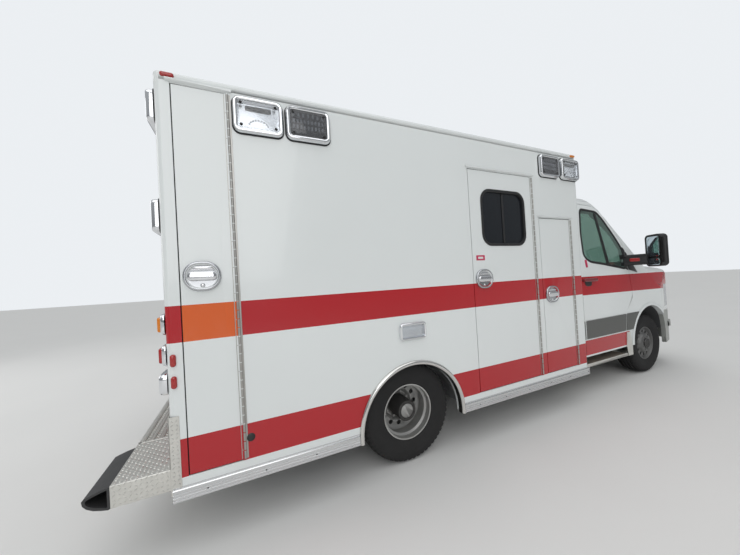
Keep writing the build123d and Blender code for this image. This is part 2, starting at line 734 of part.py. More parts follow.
# Steering wheel, on a column that leans out of the dashboard
COLUMN_FOOT = (3058.0, 500.0, 1262.0)
COLUMN_RADIUS = 22.0
COLUMN_BURIED = 70.0
COLUMN_TILT = 35.0
COLUMN_LENGTH = 150.0
STEERING_RADIUS = 190.0
column = Pos(*COLUMN_FOOT) * Rot(0, -90 + COLUMN_TILT, 0)
shaft_length = COLUMN_LENGTH + COLUMN_BURIED
shaft_middle = column * Pos(0, 0, (COLUMN_LENGTH - COLUMN_BURIED) / 2)
steering_wheel = shaft_middle * Cylinder(COLUMN_RADIUS, shaft_length)
steering_wheel += column * Pos(0, 0, COLUMN_LENGTH) * Torus(STEERING_RADIUS, 15)
steering_wheel += column * Pos(0, 0, COLUMN_LENGTH - 6) * Cylinder(70, 36)
for angle in (90, 210, 330):
    spoke = Rot(0, 0, angle) * Pos(STEERING_RADIUS / 2, 0, 0) * Box(STEERING_RADIUS, 34, 14)
    steering_wheel += column * Pos(0, 0, COLUMN_LENGTH) * spoke
save_cab("steering_wheel", steering_wheel)
interior -= shaft_middle * Cylinder(COLUMN_RADIUS + RUNNING, shaft_length)
save_cab("cab_interior", interior)

# Mirrors, carried by the doors on two arms
MIRROR_INNER = (3283.0, 1140.0)
MIRROR_OUTER = (3183.0, 1320.0)
MIRROR_ZS = (1375.0, 1745.0)
MIRROR_DEPTH = 88.0
MIRROR_ARM_ZS = (1420.0, 1512.0)
mirror_turn = math.degrees(
    math.atan2(MIRROR_INNER[0] - MIRROR_OUTER[0], MIRROR_OUTER[1] - MIRROR_INNER[1])
)
mirror_width = math.hypot(MIRROR_INNER[0] - MIRROR_OUTER[0], MIRROR_OUTER[1] - MIRROR_INNER[1])
head = Box(MIRROR_DEPTH, mirror_width, MIRROR_ZS[1] - MIRROR_ZS[0])
head = fillet(head.edges().filter_by(Axis.X), 45)
head = fillet(head.faces().sort_by(Axis.X)[-1].edges(), 30)
head = Rot(0, 0, mirror_turn) * Pos(MIRROR_DEPTH / 2, 0, 0) * head
head = Pos(
    (MIRROR_INNER[0] + MIRROR_OUTER[0]) / 2,
    (MIRROR_INNER[1] + MIRROR_OUTER[1]) / 2,
    (MIRROR_ZS[0] + MIRROR_ZS[1]) / 2,
) * head
mirror_left = head
for z in MIRROR_ARM_ZS:
    mirror_left += box(3120, 3200, 900, 1000, z - 22, z + 22)
    arm = outline(((3120, 960), (3200, 960), (3290, 1180), (3215, 1180)))
    mirror_left += plan_prism(arm, z - 18, z + 18)
mirror_left -= side_prism(window_face, 0, 2000) & inner
mirror_left -= outer
save_cab("mirror_left", mirror_left)
save_cab("mirror_right", mirror(mirror_left, about=Plane.XZ))

# Steps below the cab doors, each with a riser up to the floor
STEP_BOARD = (2172.0, 3190.0, 316.0, 345.0)
step_profile = outline((
    (995, STEP_BOARD[2]), (995, STEP_BOARD[3] + 6), (985, STEP_BOARD[3]), (830, STEP_BOARD[3]),
    (830, CAB_FLOOR_Z - FLOOR_SHEET), (820, CAB_FLOOR_Z - FLOOR_SHEET), (820, STEP_BOARD[2]),
))
cab_steps = front_prism(step_profile, STEP_BOARD[0], STEP_BOARD[1])
# Splash plates stand behind the front wheels, against the outside of the cab's skin
SPLASH_XS = (3090.0, STEP_BOARD[1] - 4.0)
SPLASH_ZS = (STEP_BOARD[2], 440.0, 600.0)
SPLASH_YS = (CAB_HALF_WIDTH + 0.4, CAB_HALF_WIDTH + 5.0)
splash_plate = side_prism(outline((
    (SPLASH_XS[0], SPLASH_ZS[0]), (SPLASH_XS[1], SPLASH_ZS[0]), (SPLASH_XS[1], SPLASH_ZS[1]),
    (SPLASH_XS[1] - 36, SPLASH_ZS[2]), (SPLASH_XS[0] - 10, SPLASH_ZS[2]),
    (SPLASH_XS[0] - 30, SPLASH_ZS[1]),
)), *SPLASH_YS)
splash_plate += box(*SPLASH_XS, 940, SPLASH_YS[1], SPLASH_ZS[0], SPLASH_ZS[0] + 60)
save_cab("cab_steps", both_sides(cab_steps + splash_plate) - arch)

# Patient module: walls, roof and floor
module_middle = (MODULE_REAR + MODULE_FRONT) / 2
module_length = MODULE_FRONT - MODULE_REAR
inside_y = MODULE_HALF_WIDTH - MODULE_WALL
wall_top = MODULE_TOP - ROOF_THICKNESS
plan_outer = Pos(module_middle, 0) * RectangleRounded(
    module_length, 2 * MODULE_HALF_WIDTH, MODULE_CORNER
)
roof = plan_prism(plan_outer, wall_top, MODULE_TOP)
save("module_roof", fillet(roof.edges().group_by(Axis.Z)[-1], 22))

WALL_BOTTOM = SKIRT_BOTTOM + 14
module_arch = along_y(ARCH_X, ARCH_Z, ARCH_RADIUS, -BEYOND_Y, BEYOND_Y)
module_arch += box(ARCH_X - ARCH_RADIUS, ARCH_X + ARCH_RADIUS, -BEYOND_Y, BEYOND_Y, 0, ARCH_Z)
shell_walls = plan_prism(plan_outer, WALL_BOTTOM, wall_top) - module_arch
walls = {
    "right": shell_walls & box(MODULE_REAR, MODULE_FRONT, -BEYOND_Y, -inside_y, 0, 3000),
    "left": shell_walls & box(MODULE_REAR, MODULE_FRONT, inside_y, BEYOND_Y, 0, 3000),
}
DRIP_PROUD = 14.0
DRIP_HEIGHT = 14.0
for name, sign, x0, x1, z0, z1 in SIDE_DOORS:
    side = "right" if sign < 0 else "left"
    walls[side] -= box(x0, x1, sign * WITHIN_Y, sign * BEYOND_Y, z0, z1)
    walls[side] += box(
        x0 - 20, x1 + 20, sign * MODULE_HALF_WIDTH, sign * (MODULE_HALF_WIDTH + DRIP_PROUD),
        z1 + 6, z1 + 6 + DRIP_HEIGHT,
    )
for side, wall in walls.items():
    save(f"module_wall_{side}", wall)

rear_wall = box(
    MODULE_REAR, MODULE_REAR + MODULE_WALL, -inside_y, inside_y, WALL_BOTTOM, wall_top
)
rear_wall -= box(
    MODULE_REAR - 100, MODULE_REAR + 100, -BACK_DOOR_Y, BACK_DOOR_Y, BACK_DOOR_BOTTOM, BACK_DOOR_TOP
)
save("module_wall_rear", rear_wall)

PASSAGE_Y = 350.0
PASSAGE_TOP = 1900.0
front_wall = box(
    MODULE_FRONT - MODULE_WALL, MODULE_FRONT, -inside_y, inside_y, WALL_BOTTOM, wall_top
)
front_wall -= box(MODULE_FRONT - 100, MODULE_FRONT + 100, -RAIL_Y - 40, RAIL_Y + 40, 0, RAIL_TOP)
front_wall -= box(
    MODULE_FRONT - 100, MODULE_FRONT + 100, -PASSAGE_Y, PASSAGE_Y, CAB_FLOOR_Z, PASSAGE_TOP
)
save("module_wall_front", front_wall)

# Compartments, entry step well and wheel housings hang inside the walls
floor_top = RAIL_TOP + FLOOR_THICKNESS
well_y = inside_y - COMPARTMENT_DEPTH
floor = box(
    MODULE_REAR + MODULE_WALL, MODULE_FRONT - MODULE_WALL, -inside_y, inside_y,
    RAIL_TOP, floor_top,
)
sheet = COMPARTMENT_SHEET
cavities = []
for name, sign, x0, x1, z0, z1 in SIDE_DOORS:
    top = floor_top if name == "door_entry" else z1
    tray = box(x0 - sheet, x1 + sheet, sign * (well_y - sheet), sign * inside_y, z0 - sheet, top)
    hollow_top = top + 50 if name == "door_entry" else z1 - sheet
    tray -= box(x0, x1, sign * well_y, sign * BEYOND_Y, z0, hollow_top)
    cavities.append(tray)
    floor -= box(x0 - sheet, x1 + sheet, sign * (well_y - sheet), sign * BEYOND_Y, 0, 3000)
HOUSING_INNER_Y = 524.0
HOUSING_X = 8.0
HOUSING_RADIUS = TYRE_RADIUS + 64.0
housings = []
for sign in (-1, 1):
    housing = along_y(
        HOUSING_X, TYRE_RADIUS, HOUSING_RADIUS + sheet, sign * HOUSING_INNER_Y, sign * inside_y
    )
    housings.append(housing)
    floor -= housing
    housing -= along_y(
        HOUSING_X, TYRE_RADIUS, HOUSING_RADIUS, sign * (HOUSING_INNER_Y + sheet), sign * BEYOND_Y
    )
    housing -= box(-130, 130, sign * 500, sign * (HOUSING_INNER_Y + sheet + 2), 0, 620)
    cavities.append(housing & box(-500, 500, -BEYOND_Y, BEYOND_Y, WALL_BOTTOM + 60, 3000))
STRETCHER_PLATE = (-1150.0, 950.0, 190.0, 4.0)
floor += box(
    STRETCHER_PLATE[0], STRETCHER_PLATE[1], -STRETCHER_PLATE[2], STRETCHER_PLATE[2],
    floor_top, floor_top + STRETCHER_PLATE[3],
)
save("module_floor", floor)
save("compartments", Compound(cavities))

# Doors. Each hangs on a full-length barrel hinge just proud of the wall.
handles = {name: (x, z) for name, x, z in HANDLES}


def handle(x, z, sign, surface):
    """A recessed paddle handle: an oval dish with a bar across it."""
    outer_oval = rounded_box(
        x - HANDLE_LENGTH / 2, x + HANDLE_LENGTH / 2,
        z - HANDLE_HEIGHT / 2, z + HANDLE_HEIGHT / 2, HANDLE_HEIGHT / 2 - 2,
    )
    dish = rounded_box(
        x - HANDLE_LENGTH / 2 + 18, x + HANDLE_LENGTH / 2 - 18,
        z - HANDLE_HEIGHT / 2 + 18, z + HANDLE_HEIGHT / 2 - 18, HANDLE_HEIGHT / 2 - 20,
    )
    body = side_prism(outer_oval, sign * surface, sign * (surface + HANDLE_PROUD))
    body -= side_prism(dish, sign * (surface + 4), sign * (surface + HANDLE_PROUD + 5))
    body += box(x - 62, x + 62, sign * surface, sign * (surface + HANDLE_PROUD), z - 16, z + 16)
    return body


for name, sign, x0, x1, z0, z1 in SIDE_DOORS:
    door = box(
        x0 + DOOR_GAP, x1 - DOOR_GAP, sign * inside_y, sign * MODULE_HALF_WIDTH,
        z0 + DOOR_GAP, z1 - DOOR_GAP,
    )
    axis_x = x1 - DOOR_GAP / 2
    door += Pos(axis_x, sign * (MODULE_HALF_WIDTH + HINGE_PROUD), (z0 + z1) / 2) * Cylinder(
        HINGE_RADIUS, z1 - z0 - 2 * DOOR_GAP
    )
    door += box(
        axis_x - 16, axis_x, sign * MODULE_HALF_WIDTH, sign * (MODULE_HALF_WIDTH + 3),
        z0 + DOOR_GAP, z1 - DOOR_GAP,
    )
    if name == "door_entry":
        window = rounded_box(WINDOW_REAR, WINDOW_FRONT, WINDOW_BOTTOM, WINDOW_TOP, WINDOW_CORNER)
        door -= side_prism(window, sign * WITHIN_Y, sign * BEYOND_Y)
        pane_y = MODULE_HALF_WIDTH - 14
        save("entry_glass", side_prism(window, sign * (pane_y - PANE), sign * pane_y))
    door += handle(*handles[name], sign, MODULE_HALF_WIDTH)
    save(name, door)

BACK_HANDLE_Z = 1360.0
for side, sign in (("right", -1), ("left", 1)):
    rear_x = MODULE_REAR
    door = box(
        rear_x, rear_x + MODULE_WALL, sign * (DOOR_GAP / 2), sign * (BACK_DOOR_Y - DOOR_GAP),
        BACK_DOOR_BOTTOM + DOOR_GAP, BACK_DOOR_TOP - DOOR_GAP,
    )
    window = RectangleRounded(
        BACK_WINDOW_OUTER - BACK_WINDOW_INNER, BACK_WINDOW_TOP - BACK_WINDOW_BOTTOM, WINDOW_CORNER
    )
    window = Pos(
        sign * (BACK_WINDOW_OUTER + BACK_WINDOW_INNER) / 2,
        (BACK_WINDOW_TOP + BACK_WINDOW_BOTTOM) / 2,
    ) * window
    door -= front_prism(window, rear_x - 50, rear_x + 100)
    save(f"back_glass_{side}", front_prism(window, rear_x + 14, rear_x + 14 + PANE))
    door += Pos(
        rear_x - HINGE_PROUD, sign * (BACK_DOOR_Y - DOOR_GAP / 2),
        (BACK_DOOR_BOTTOM + BACK_DOOR_TOP) / 2 + 20,
    ) * Cylinder(HINGE_RADIUS, BACK_DOOR_TOP - BACK_DOOR_BOTTOM - 70)
    door += box(
        rear_x - 3, rear_x, sign * (BACK_DOOR_Y - 19), sign * (BACK_DOOR_Y - DOOR_GAP / 2),
        BACK_DOOR_BOTTOM + 50, BACK_DOOR_TOP - 10,
    )
    grip_y = sign * 110
    door += Pos(rear_x - 10, grip_y, BACK_HANDLE_Z) * Box(20, 120, 150)
    save(f"back_door_{side}", door)

# Aluminium along the skirts: a ribbed rub rail, and a polished ring round each wheel arch
RIB = 6.0
rail_profile = outline((
    (MODULE_HALF_WIDTH, SKIRT_BOTTOM),
    (MODULE_HALF_WIDTH + RAIL_TRIM_PROUD, SKIRT_BOTTOM),
    (MODULE_HALF_WIDTH + RAIL_TRIM_PROUD, SKIRT_BOTTOM + 20),
    (MODULE_HALF_WIDTH + RIB, SKIRT_BOTTOM + 26),
    (MODULE_HALF_WIDTH + RIB, SKIRT_BOTTOM + 46),
    (MODULE_HALF_WIDTH + RAIL_TRIM_PROUD, SKIRT_BOTTOM + 52),
    (MODULE_HALF_WIDTH + RAIL_TRIM_PROUD, SKIRT_BOTTOM + 66),
    (MODULE_HALF_WIDTH, SKIRT_BOTTOM + 72),
))
ring_outer = ARCH_RADIUS + TRIM_WIDTH
side_trim = front_prism(rail_profile, MODULE_REAR + 4, MODULE_FRONT - 4)
side_trim -= along_y(ARCH_X, ARCH_Z, ring_outer - 0.5, WITHIN_Y, BEYOND_Y)
side_trim -= box(ARCH_X - ring_outer + 0.5, ARCH_X + ring_outer - 0.5, WITHIN_Y, BEYOND_Y, 0, ARCH_Z)
ring = along_y(ARCH_X, ARCH_Z, ring_outer, MODULE_HALF_WIDTH, MODULE_HALF_WIDTH + TRIM_PROUD)
ring += box(
    ARCH_X - ring_outer, ARCH_X + ring_outer, MODULE_HALF_WIDTH,
    MODULE_HALF_WIDTH + TRIM_PROUD, SKIRT_BOTTOM, ARCH_Z,
)
side_trim += ring - module_arch
side_trim -= box(-600, 700, WITHIN_Y, BEYOND_Y, -300, SKIRT_BOTTOM)
save("side_trim", both_sides(side_trim))

# Rear step: a fixed wing each side and a centre grid that flips up against the doors
wing = box(
    STEP_REAR, MODULE_REAR, STEP_CENTRE_Y, MODULE_HALF_WIDTH, STEP_TOP - STEP_THICKNESS, STEP_TOP
)
wing -= box(
    STEP_REAR + STEP_SHEET, MODULE_REAR - STEP_SHEET, STEP_CENTRE_Y + STEP_SHEET,
    MODULE_HALF_WIDTH - STEP_SHEET, 0, STEP_TOP - STEP_SHEET,
)
corner_plate = box(
    MODULE_REAR - 4, MODULE_REAR, MODULE_HALF_WIDTH - 70, MODULE_HALF_WIDTH,
    STEP_TOP, 741,
)
GRID_AXIS_X = MODULE_REAR - 18.0
GRID_AXIS_Z = STEP_TOP + 8.0
GRID_PIN_RADIUS = 3.5
lug = box(
    GRID_AXIS_X - 8, GRID_AXIS_X + 8, STEP_CENTRE_Y, STEP_CENTRE_Y + 8, STEP_TOP - 4,
    GRID_AXIS_Z + 8,
)
lug += along_y(GRID_AXIS_X, GRID_AXIS_Z, GRID_PIN_RADIUS, STEP_CENTRE_Y - 60, STEP_CENTRE_Y + 4)
step_wings = both_sides(wing + corner_plate + lug)
save("step_wings", step_wings)

block_profile = outline((
    (STEP_REAR, STEP_TOP - 3), (STEP_REAR - 77, 447), (OVERALL_REAR, 438),
    (OVERALL_REAR + 3, 408), (-1822, 374), (STEP_REAR - 8, 358), (STEP_REAR, 362),
))
block = side_prism(block_profile, BLOCK_INNER_Y, MODULE_HALF_WIDTH)
save("bumper_blocks", both_sides(block))

GRID_THICKNESS = 36.0
grid = box(
    STEP_REAR, MODULE_REAR - 24, -(STEP_CENTRE_Y - DOOR_GAP), STEP_CENTRE_Y - DOOR_GAP,
    STEP_TOP - GRID_THICKNESS, STEP_TOP,
)
grid -= box(
    STEP_REAR + 20, MODULE_REAR - 40, -(STEP_CENTRE_Y - 30), STEP_CENTRE_Y - 30,
    0, STEP_TOP - STEP_SHEET,
)
GRID_ROWS = 4
row_pitch = 50.0
for row in range(GRID_ROWS):
    x = STEP_REAR + 45 + row * row_pitch
    grid -= box(x - 12, x + 12, -600, -20, 0, 600)
    grid -= box(x - 12, x + 12, 20, 600, 0, 600)
grid += along_y(GRID_AXIS_X, GRID_AXIS_Z, 7, -(STEP_CENTRE_Y - 8), STEP_CENTRE_Y - 8)
grid += box(
    GRID_AXIS_X - 8, GRID_AXIS_X, -(STEP_CENTRE_Y - 8), STEP_CENTRE_Y - 8,
    STEP_TOP - 4, GRID_AXIS_Z,
)
grid -= both_sides(along_y(
    GRID_AXIS_X, GRID_AXIS_Z, GRID_PIN_RADIUS + RUNNING, STEP_CENTRE_Y - 62, STEP_CENTRE_Y
))
save("step_grid", grid)

# Lamps: bezels with their lenses set inside. Side, then Y, Z on the rear and front faces.
bezels = []
lenses = []
red_lamps = []
LENS_RECESS = 8.0


def side_lamp(x0, x1, z0, z1, sign, radius, proud, rim):
    """A bezel ring on the module's side and the lens that fills it."""
    frame = side_prism(
        rounded_box(x0, x1, z0, z1, radius),
        sign * MODULE_HALF_WIDTH, sign * (MODULE_HALF_WIDTH + proud),
    )
    opening = rounded_box(x0 + rim, x1 - rim, z0 + rim, z1 - rim, max(radius - rim, 6))
    frame -= side_prism(opening, sign * WITHIN_Y, sign * BEYOND_Y)
    lens = side_prism(
        opening, sign * MODULE_HALF_WIDTH, sign * (MODULE_HALF_WIDTH + proud - LENS_RECESS)
    )
    bezels.append(frame)
    lenses.append(lens)


def end_lamp(face_x, out, y0, y1, z0, z1, radius, proud, rim, lens_list):
    """The same on the module's rear or front face."""
    flat = Pos((y0 + y1) / 2, (z0 + z1) / 2)
    plate = flat * RectangleRounded(y1 - y0, z1 - z0, radius)
    opening = flat * RectangleRounded(
        y1 - y0 - 2 * rim, z1 - z0 - 2 * rim, max(radius - rim, 6)
    )
    low = min(face_x, face_x + out * proud)
    frame = front_prism(plate, low, low + proud) - front_prism(opening, low - 10, low + proud + 10)
    lens_low = min(face_x, face_x + out * (proud - LENS_RECESS))
    bezels.append(frame)
    lens_list.append(front_prism(opening, lens_low, lens_low + proud - LENS_RECESS))


for sign in (-1, 1):
    for x in LAMP_XS:
        side_lamp(
            x, x + LAMP_LENGTH, LAMP_BOTTOM, LAMP_BOTTOM + LAMP_HEIGHT, sign,
            LAMP_CORNER, LAMP_PROUD, LAMP_RIM,
        )
    side_lamp(*SCENE_LAMP, sign, 26, 26, 18)

# Rear lamps: inner Y, outer Y, bottom Z, top Z, red or not
REAR_LAMPS = (
    (790.0, 1040.0, 2330.0, 2512.0, False),
    (790.0, 1040.0, 1728.0, 1910.0, False),
    (880.0, 1050.0, 1170.0, 1285.0, False),
    (880.0, 1050.0, 1003.0, 1118.0, True),
    (880.0, 1050.0, 850.0, 965.0, False),
)
for y0, y1, z0, z1, red in REAR_LAMPS:
    target = red_lamps if red else lenses
    end_lamp(MODULE_REAR, -1, y0, y1, z0, z1, 30, 40, 16, target)
    end_lamp(MODULE_REAR, -1, -y1, -y0, z0, z1, 30, 40, 16, target)
FRONT_LAMPS = ((-1010.0, -780.0), (-700.0, -470.0), (-115.0, 115.0), (470.0, 700.0), (780.0, 1010.0))
for y0, y1 in FRONT_LAMPS:
    end_lamp(MODULE_FRONT, 1, y0, y1, 2372, 2530, 30, 34, 18, lenses)

MARKER_LENGTH = 66.0
MARKER_HEIGHT = 24.0
MARKER_PROUD = 14.0
MARKER_Z = 2578.0
for sign in (-1, 1):
    for x, z, length, height in (
        (-1436, MARKER_Z, MARKER_LENGTH, MARKER_HEIGHT),
        (-1472, 1036, MARKER_HEIGHT + 4, MARKER_LENGTH),
        (-1472, 920, MARKER_HEIGHT + 4, MARKER_LENGTH),
        (MODULE_FRONT - 58, MARKER_Z, MARKER_LENGTH, MARKER_HEIGHT),
    ):
        oval = rounded_box(
            x - length / 2, x + length / 2, z - height / 2, z + height / 2,
            min(length, height) / 2 - 0.5,
        )
        red_lamps.append(side_prism(
            oval, sign * MODULE_HALF_WIDTH, sign * (MODULE_HALF_WIDTH + MARKER_PROUD)
        ))
for y in (-900, -150, 0, 150, 900):
    oval = Pos(y, MARKER_Z) * RectangleRounded(MARKER_LENGTH, MARKER_HEIGHT, 11.5)
    red_lamps.append(front_prism(oval, MODULE_REAR - MARKER_PROUD, MODULE_REAR))
    lenses.append(front_prism(oval, MODULE_FRONT, MODULE_FRONT + MARKER_PROUD))
save("lamp_bezels", Compound(bezels))
save("lamp_lenses", Compound(lenses))
save("red_lamps", Compound(red_lamps))

# Inside the module: bench on the right, cabinets on the left
BENCH = (-1100.0, 520.0, -inside_y, -560.0, 1150.0)
CUSHION = 80.0
cabinets = [
    box(BENCH[0], BENCH[1], BENCH[2], BENCH[3], floor_top, BENCH[4]) - housings[0],
    box(-820, MODULE_FRONT - 764, 560, inside_y, floor_top, 1250) - housings[1],
    box(-820, MODULE_FRONT - 764, 680, inside_y, 1650, 2400),
]
save("cabinets", Compound(cabinets))
bench_cushions = [
    fillet(box(BENCH[0], BENCH[1], BENCH[2] + 60, BENCH[3], BENCH[4], BENCH[4] + CUSHION).edges(), 25),
    fillet(box(BENCH[0], BENCH[1], BENCH[2], BENCH[2] + 55, BENCH[4] + 150, 1800).edges(), 20),
]
save("bench_cushions", Compound(bench_cushions))

# The origin lies under the middle of the whole vehicle
boxes = [piece.bounding_box() for piece in pieces.values()]
front_end = max(bounds.max.X for bounds in boxes)
rear_end = min(bounds.min.X for bounds in boxes)
middle_x = (front_end + rear_end) / 2
for name, piece in pieces.items():
    export_step(Pos(-middle_x, 0, 0) * piece, f"parts/{name}.step")
print(f"middle of the vehicle, ahead of the rear axle: {middle_x:.3f} mm")
print(f"length {front_end - rear_end:.1f} mm")
print(f"width {2 * max(bounds.max.Y for bounds in boxes):.1f} mm")
print(f"height {max(bounds.max.Z for bounds in boxes):.1f} mm")
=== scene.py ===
"""A box ambulance on a van cab chassis: white body, red stripes, chrome lamps, twin rear wheels."""
import math

import bmesh
import bpy
import numpy as np
from mathutils import Matrix, Vector


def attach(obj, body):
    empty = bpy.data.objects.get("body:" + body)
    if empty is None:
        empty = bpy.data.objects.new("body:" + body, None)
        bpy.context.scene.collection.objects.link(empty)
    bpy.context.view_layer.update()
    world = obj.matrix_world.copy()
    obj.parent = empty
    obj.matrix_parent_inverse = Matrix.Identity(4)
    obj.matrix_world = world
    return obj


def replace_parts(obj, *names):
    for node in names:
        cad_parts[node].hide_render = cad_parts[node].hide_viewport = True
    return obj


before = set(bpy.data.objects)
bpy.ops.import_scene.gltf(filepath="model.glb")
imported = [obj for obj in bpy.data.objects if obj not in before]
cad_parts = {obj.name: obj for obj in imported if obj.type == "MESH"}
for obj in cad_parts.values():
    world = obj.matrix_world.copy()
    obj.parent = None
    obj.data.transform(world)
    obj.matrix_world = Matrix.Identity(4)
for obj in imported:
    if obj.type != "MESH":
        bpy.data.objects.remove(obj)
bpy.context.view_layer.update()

# The studio: a wide pale floor under the wheels, a white surround, a very soft sun overhead
# and two soft boxes, one beside the camera and one behind the vehicle's tail.
FLOOR_HALF = 60.0
FLOOR_COLOUR = (0.74, 0.735, 0.72)
SURROUND_SEEN = 0.93
SURROUND_LIGHT = 0.46
SUN_POWER = 1.05
SUN_SPREAD = math.radians(75)
SUN_AIM = Vector((0.10, 0.22, -1.0))


def wire(tree, kind, inputs=None, **settings):
    """One shader node, with its settings made and each input either linked or set."""
    made = tree.nodes.new(kind)
    for key, value in settings.items():
        setattr(made, key, value)
    for key, value in (inputs or {}).items():
        socket = made.inputs[key]
        if isinstance(value, bpy.types.NodeSocket):
            tree.links.new(value, socket)
        else:
            socket.default_value = value
    return made


def reckon(tree, operation, *values):
    """The result of one arithmetic node on the given values."""
    return wire(tree, "ShaderNodeMath", dict(enumerate(values)), operation=operation).outputs[0]


def blend(tree, amount, first, second):
    """A colour between two others; a Mix node's colour sockets are its seventh and eighth."""
    sockets = {0: amount, 6: first, 7: second}
    return wire(tree, "ShaderNodeMix", sockets, data_type="RGBA").outputs[2]


def new_material(name):
    """An empty material with its tree and its surface shader."""
    material = bpy.data.materials.new(name)
    material.use_nodes = True
    return material, material.node_tree, material.node_tree.nodes["Principled BSDF"]


def shade(colour, factor):
    """A colour made lighter or darker, with an opaque alpha."""
    return tuple(min(1.0, channel * factor) for channel in colour[:3]) + (1.0,)


def finish(name, colour, roughness, metallic=0.0, spread=0.12, grain=6.0, bump=0.0, pitch=400.0,
           stretch=(1, 1, 1), coat=0.0, dirt=0.0, dirt_colour=(0.30, 0.27, 0.22), extra=None):
    """A procedural finish: colour and roughness wander with a broad noise of the given grain,
    the surface is raised by a fine noise of the given pitch, and dust gathers near the ground."""
    material, tree, surface = new_material(name)
    place = wire(tree, "ShaderNodeTexCoord").outputs["Object"]
    mapped = wire(tree, "ShaderNodeMapping", {"Vector": place, "Scale": stretch}).outputs[0]
    broad = wire(tree, "ShaderNodeTexNoise", {
        "Vector": mapped, "Scale": grain, "Detail": 6.0, "Roughness": 0.6}).outputs["Fac"]
    result = blend(tree, broad, shade(colour, 1 - spread), shade(colour, 1 + spread))
    if extra:
        result = extra(tree, place, result)
    rough = wire(tree, "ShaderNodeMapRange", {
        "Value": broad, "To Min": max(0.02, roughness * 0.75), "To Max": min(1.0, roughness * 1.3)})
    if dirt:
        height = wire(tree, "ShaderNodeSeparateXYZ", {"Vector": place}).outputs["Z"]
        low = wire(tree, "ShaderNodeMapRange", {
            "Value": height, "From Min": 0.15, "From Max": 1.0, "To Min": dirt, "To Max": dirt * 0.1})
        specks = wire(tree, "ShaderNodeTexNoise", {
            "Vector": place, "Scale": 9.0, "Detail": 9.0, "Roughness": 0.75}).outputs["Fac"]
        amount = reckon(tree, "MULTIPLY", low.outputs[0], specks)
        result = blend(tree, amount, result, shade(dirt_colour, 1))
    tree.links.new(result, surface.inputs["Base Color"])
    tree.links.new(rough.outputs[0], surface.inputs["Roughness"])
    surface.inputs["Metallic"].default_value = metallic
    if coat:
        surface.inputs["Coat Weight"].default_value = coat
        surface.inputs["Coat Roughness"].default_value = 0.04
    if bump:
        fine = wire(tree, "ShaderNodeTexNoise", {
            "Vector": mapped, "Scale": pitch, "Detail": 3.0}).outputs["Fac"]
        raised = wire(tree, "ShaderNodeBump", {
            "Height": fine, "Strength": 1.0, "Distance": bump}).outputs[0]
        tree.links.new(raised, surface.inputs["Normal"])
    return material


def wrapped_grid(rows, columns, close_rows=False, first=0):
    """Faces of a grid whose columns run round and meet, and whose rows may meet too."""
    down = np.arange(rows if close_rows else rows - 1)[:, None]
    across = np.arange(columns)[None, :]
    below, beside = (down + 1) % rows, (across + 1) % columns
    faces = np.stack([
        down * columns + across, down * columns + beside,
        below * columns + beside, below * columns + across], axis=-1)
    return (faces.reshape(-1, 4) + first).tolist()


def open_grid(rows, columns):
    """Faces of a plain grid of rows by columns points."""
    down, across = np.meshgrid(np.arange(rows - 1), np.arange(columns - 1), indexing="ij")
    corner = down * columns + across
    return np.stack([
        corner, corner + 1, corner + columns + 1, corner + columns], axis=-1).reshape(-1, 4).tolist()


def loft(loops):
    """A closed solid through rings of points of equal count, each end capped by one face."""
    rings = np.asarray(loops, float)
    rows, columns = rings.shape[:2]
    faces = wrapped_grid(rows, columns)
    faces.append(list(range(columns)))
    faces.append([(rows - 1) * columns + i for i in range(columns)])
    return rings.reshape(-1, 3), faces


def piece(name, parts, material, body, angle=35.0):
    """One object from several solids: their points and faces joined, normals turned outwards,
    edges sharper than the angle left sharp. It rides on the named body."""
    points, faces, first = [], [], 0
    for part_points, part_faces in parts:
        part_points = np.asarray(part_points, float).reshape(-1, 3)
        points.append(part_points)
        faces += [[index + first for index in face] for face in part_faces]
        first += len(part_points)
    mesh = bpy.data.meshes.new(name)
    mesh.from_pydata(np.vstack(points).tolist(), [], faces)
    work = bmesh.new()
    work.from_mesh(mesh)
    bmesh.ops.recalc_face_normals(work, faces=work.faces)
    work.to_mesh(mesh)
    work.free()
    return dressed(name, mesh, material, body, angle)


def dressed(name, mesh, material, body, angle):
    """Links a mesh as an object with its material, smooth shading and the body it rides on."""
    mesh.materials.clear()
    mesh.materials.append(material)
    mesh.polygons.foreach_set("use_smooth", np.ones(len(mesh.polygons), bool))
    mesh.set_sharp_from_angle(angle=math.radians(angle))
    made = bpy.data.objects.new(name, mesh)
    bpy.context.scene.collection.objects.link(made)
    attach(made, body)
    return made


floor_points = np.array([(-1, -1, 0), (1, -1, 0), (1, 1, 0), (-1, 1, 0)], float) * FLOOR_HALF
floor_mesh = bpy.data.meshes.new("floor")
floor_mesh.from_pydata(floor_points.tolist(), [], [[0, 1, 2, 3]])
floor_mesh.materials.append(finish("studio_floor", FLOOR_COLOUR, 0.85, spread=0.03, grain=0.8))
floor = bpy.data.objects.new("floor", floor_mesh)
bpy.context.scene.collection.objects.link(floor)

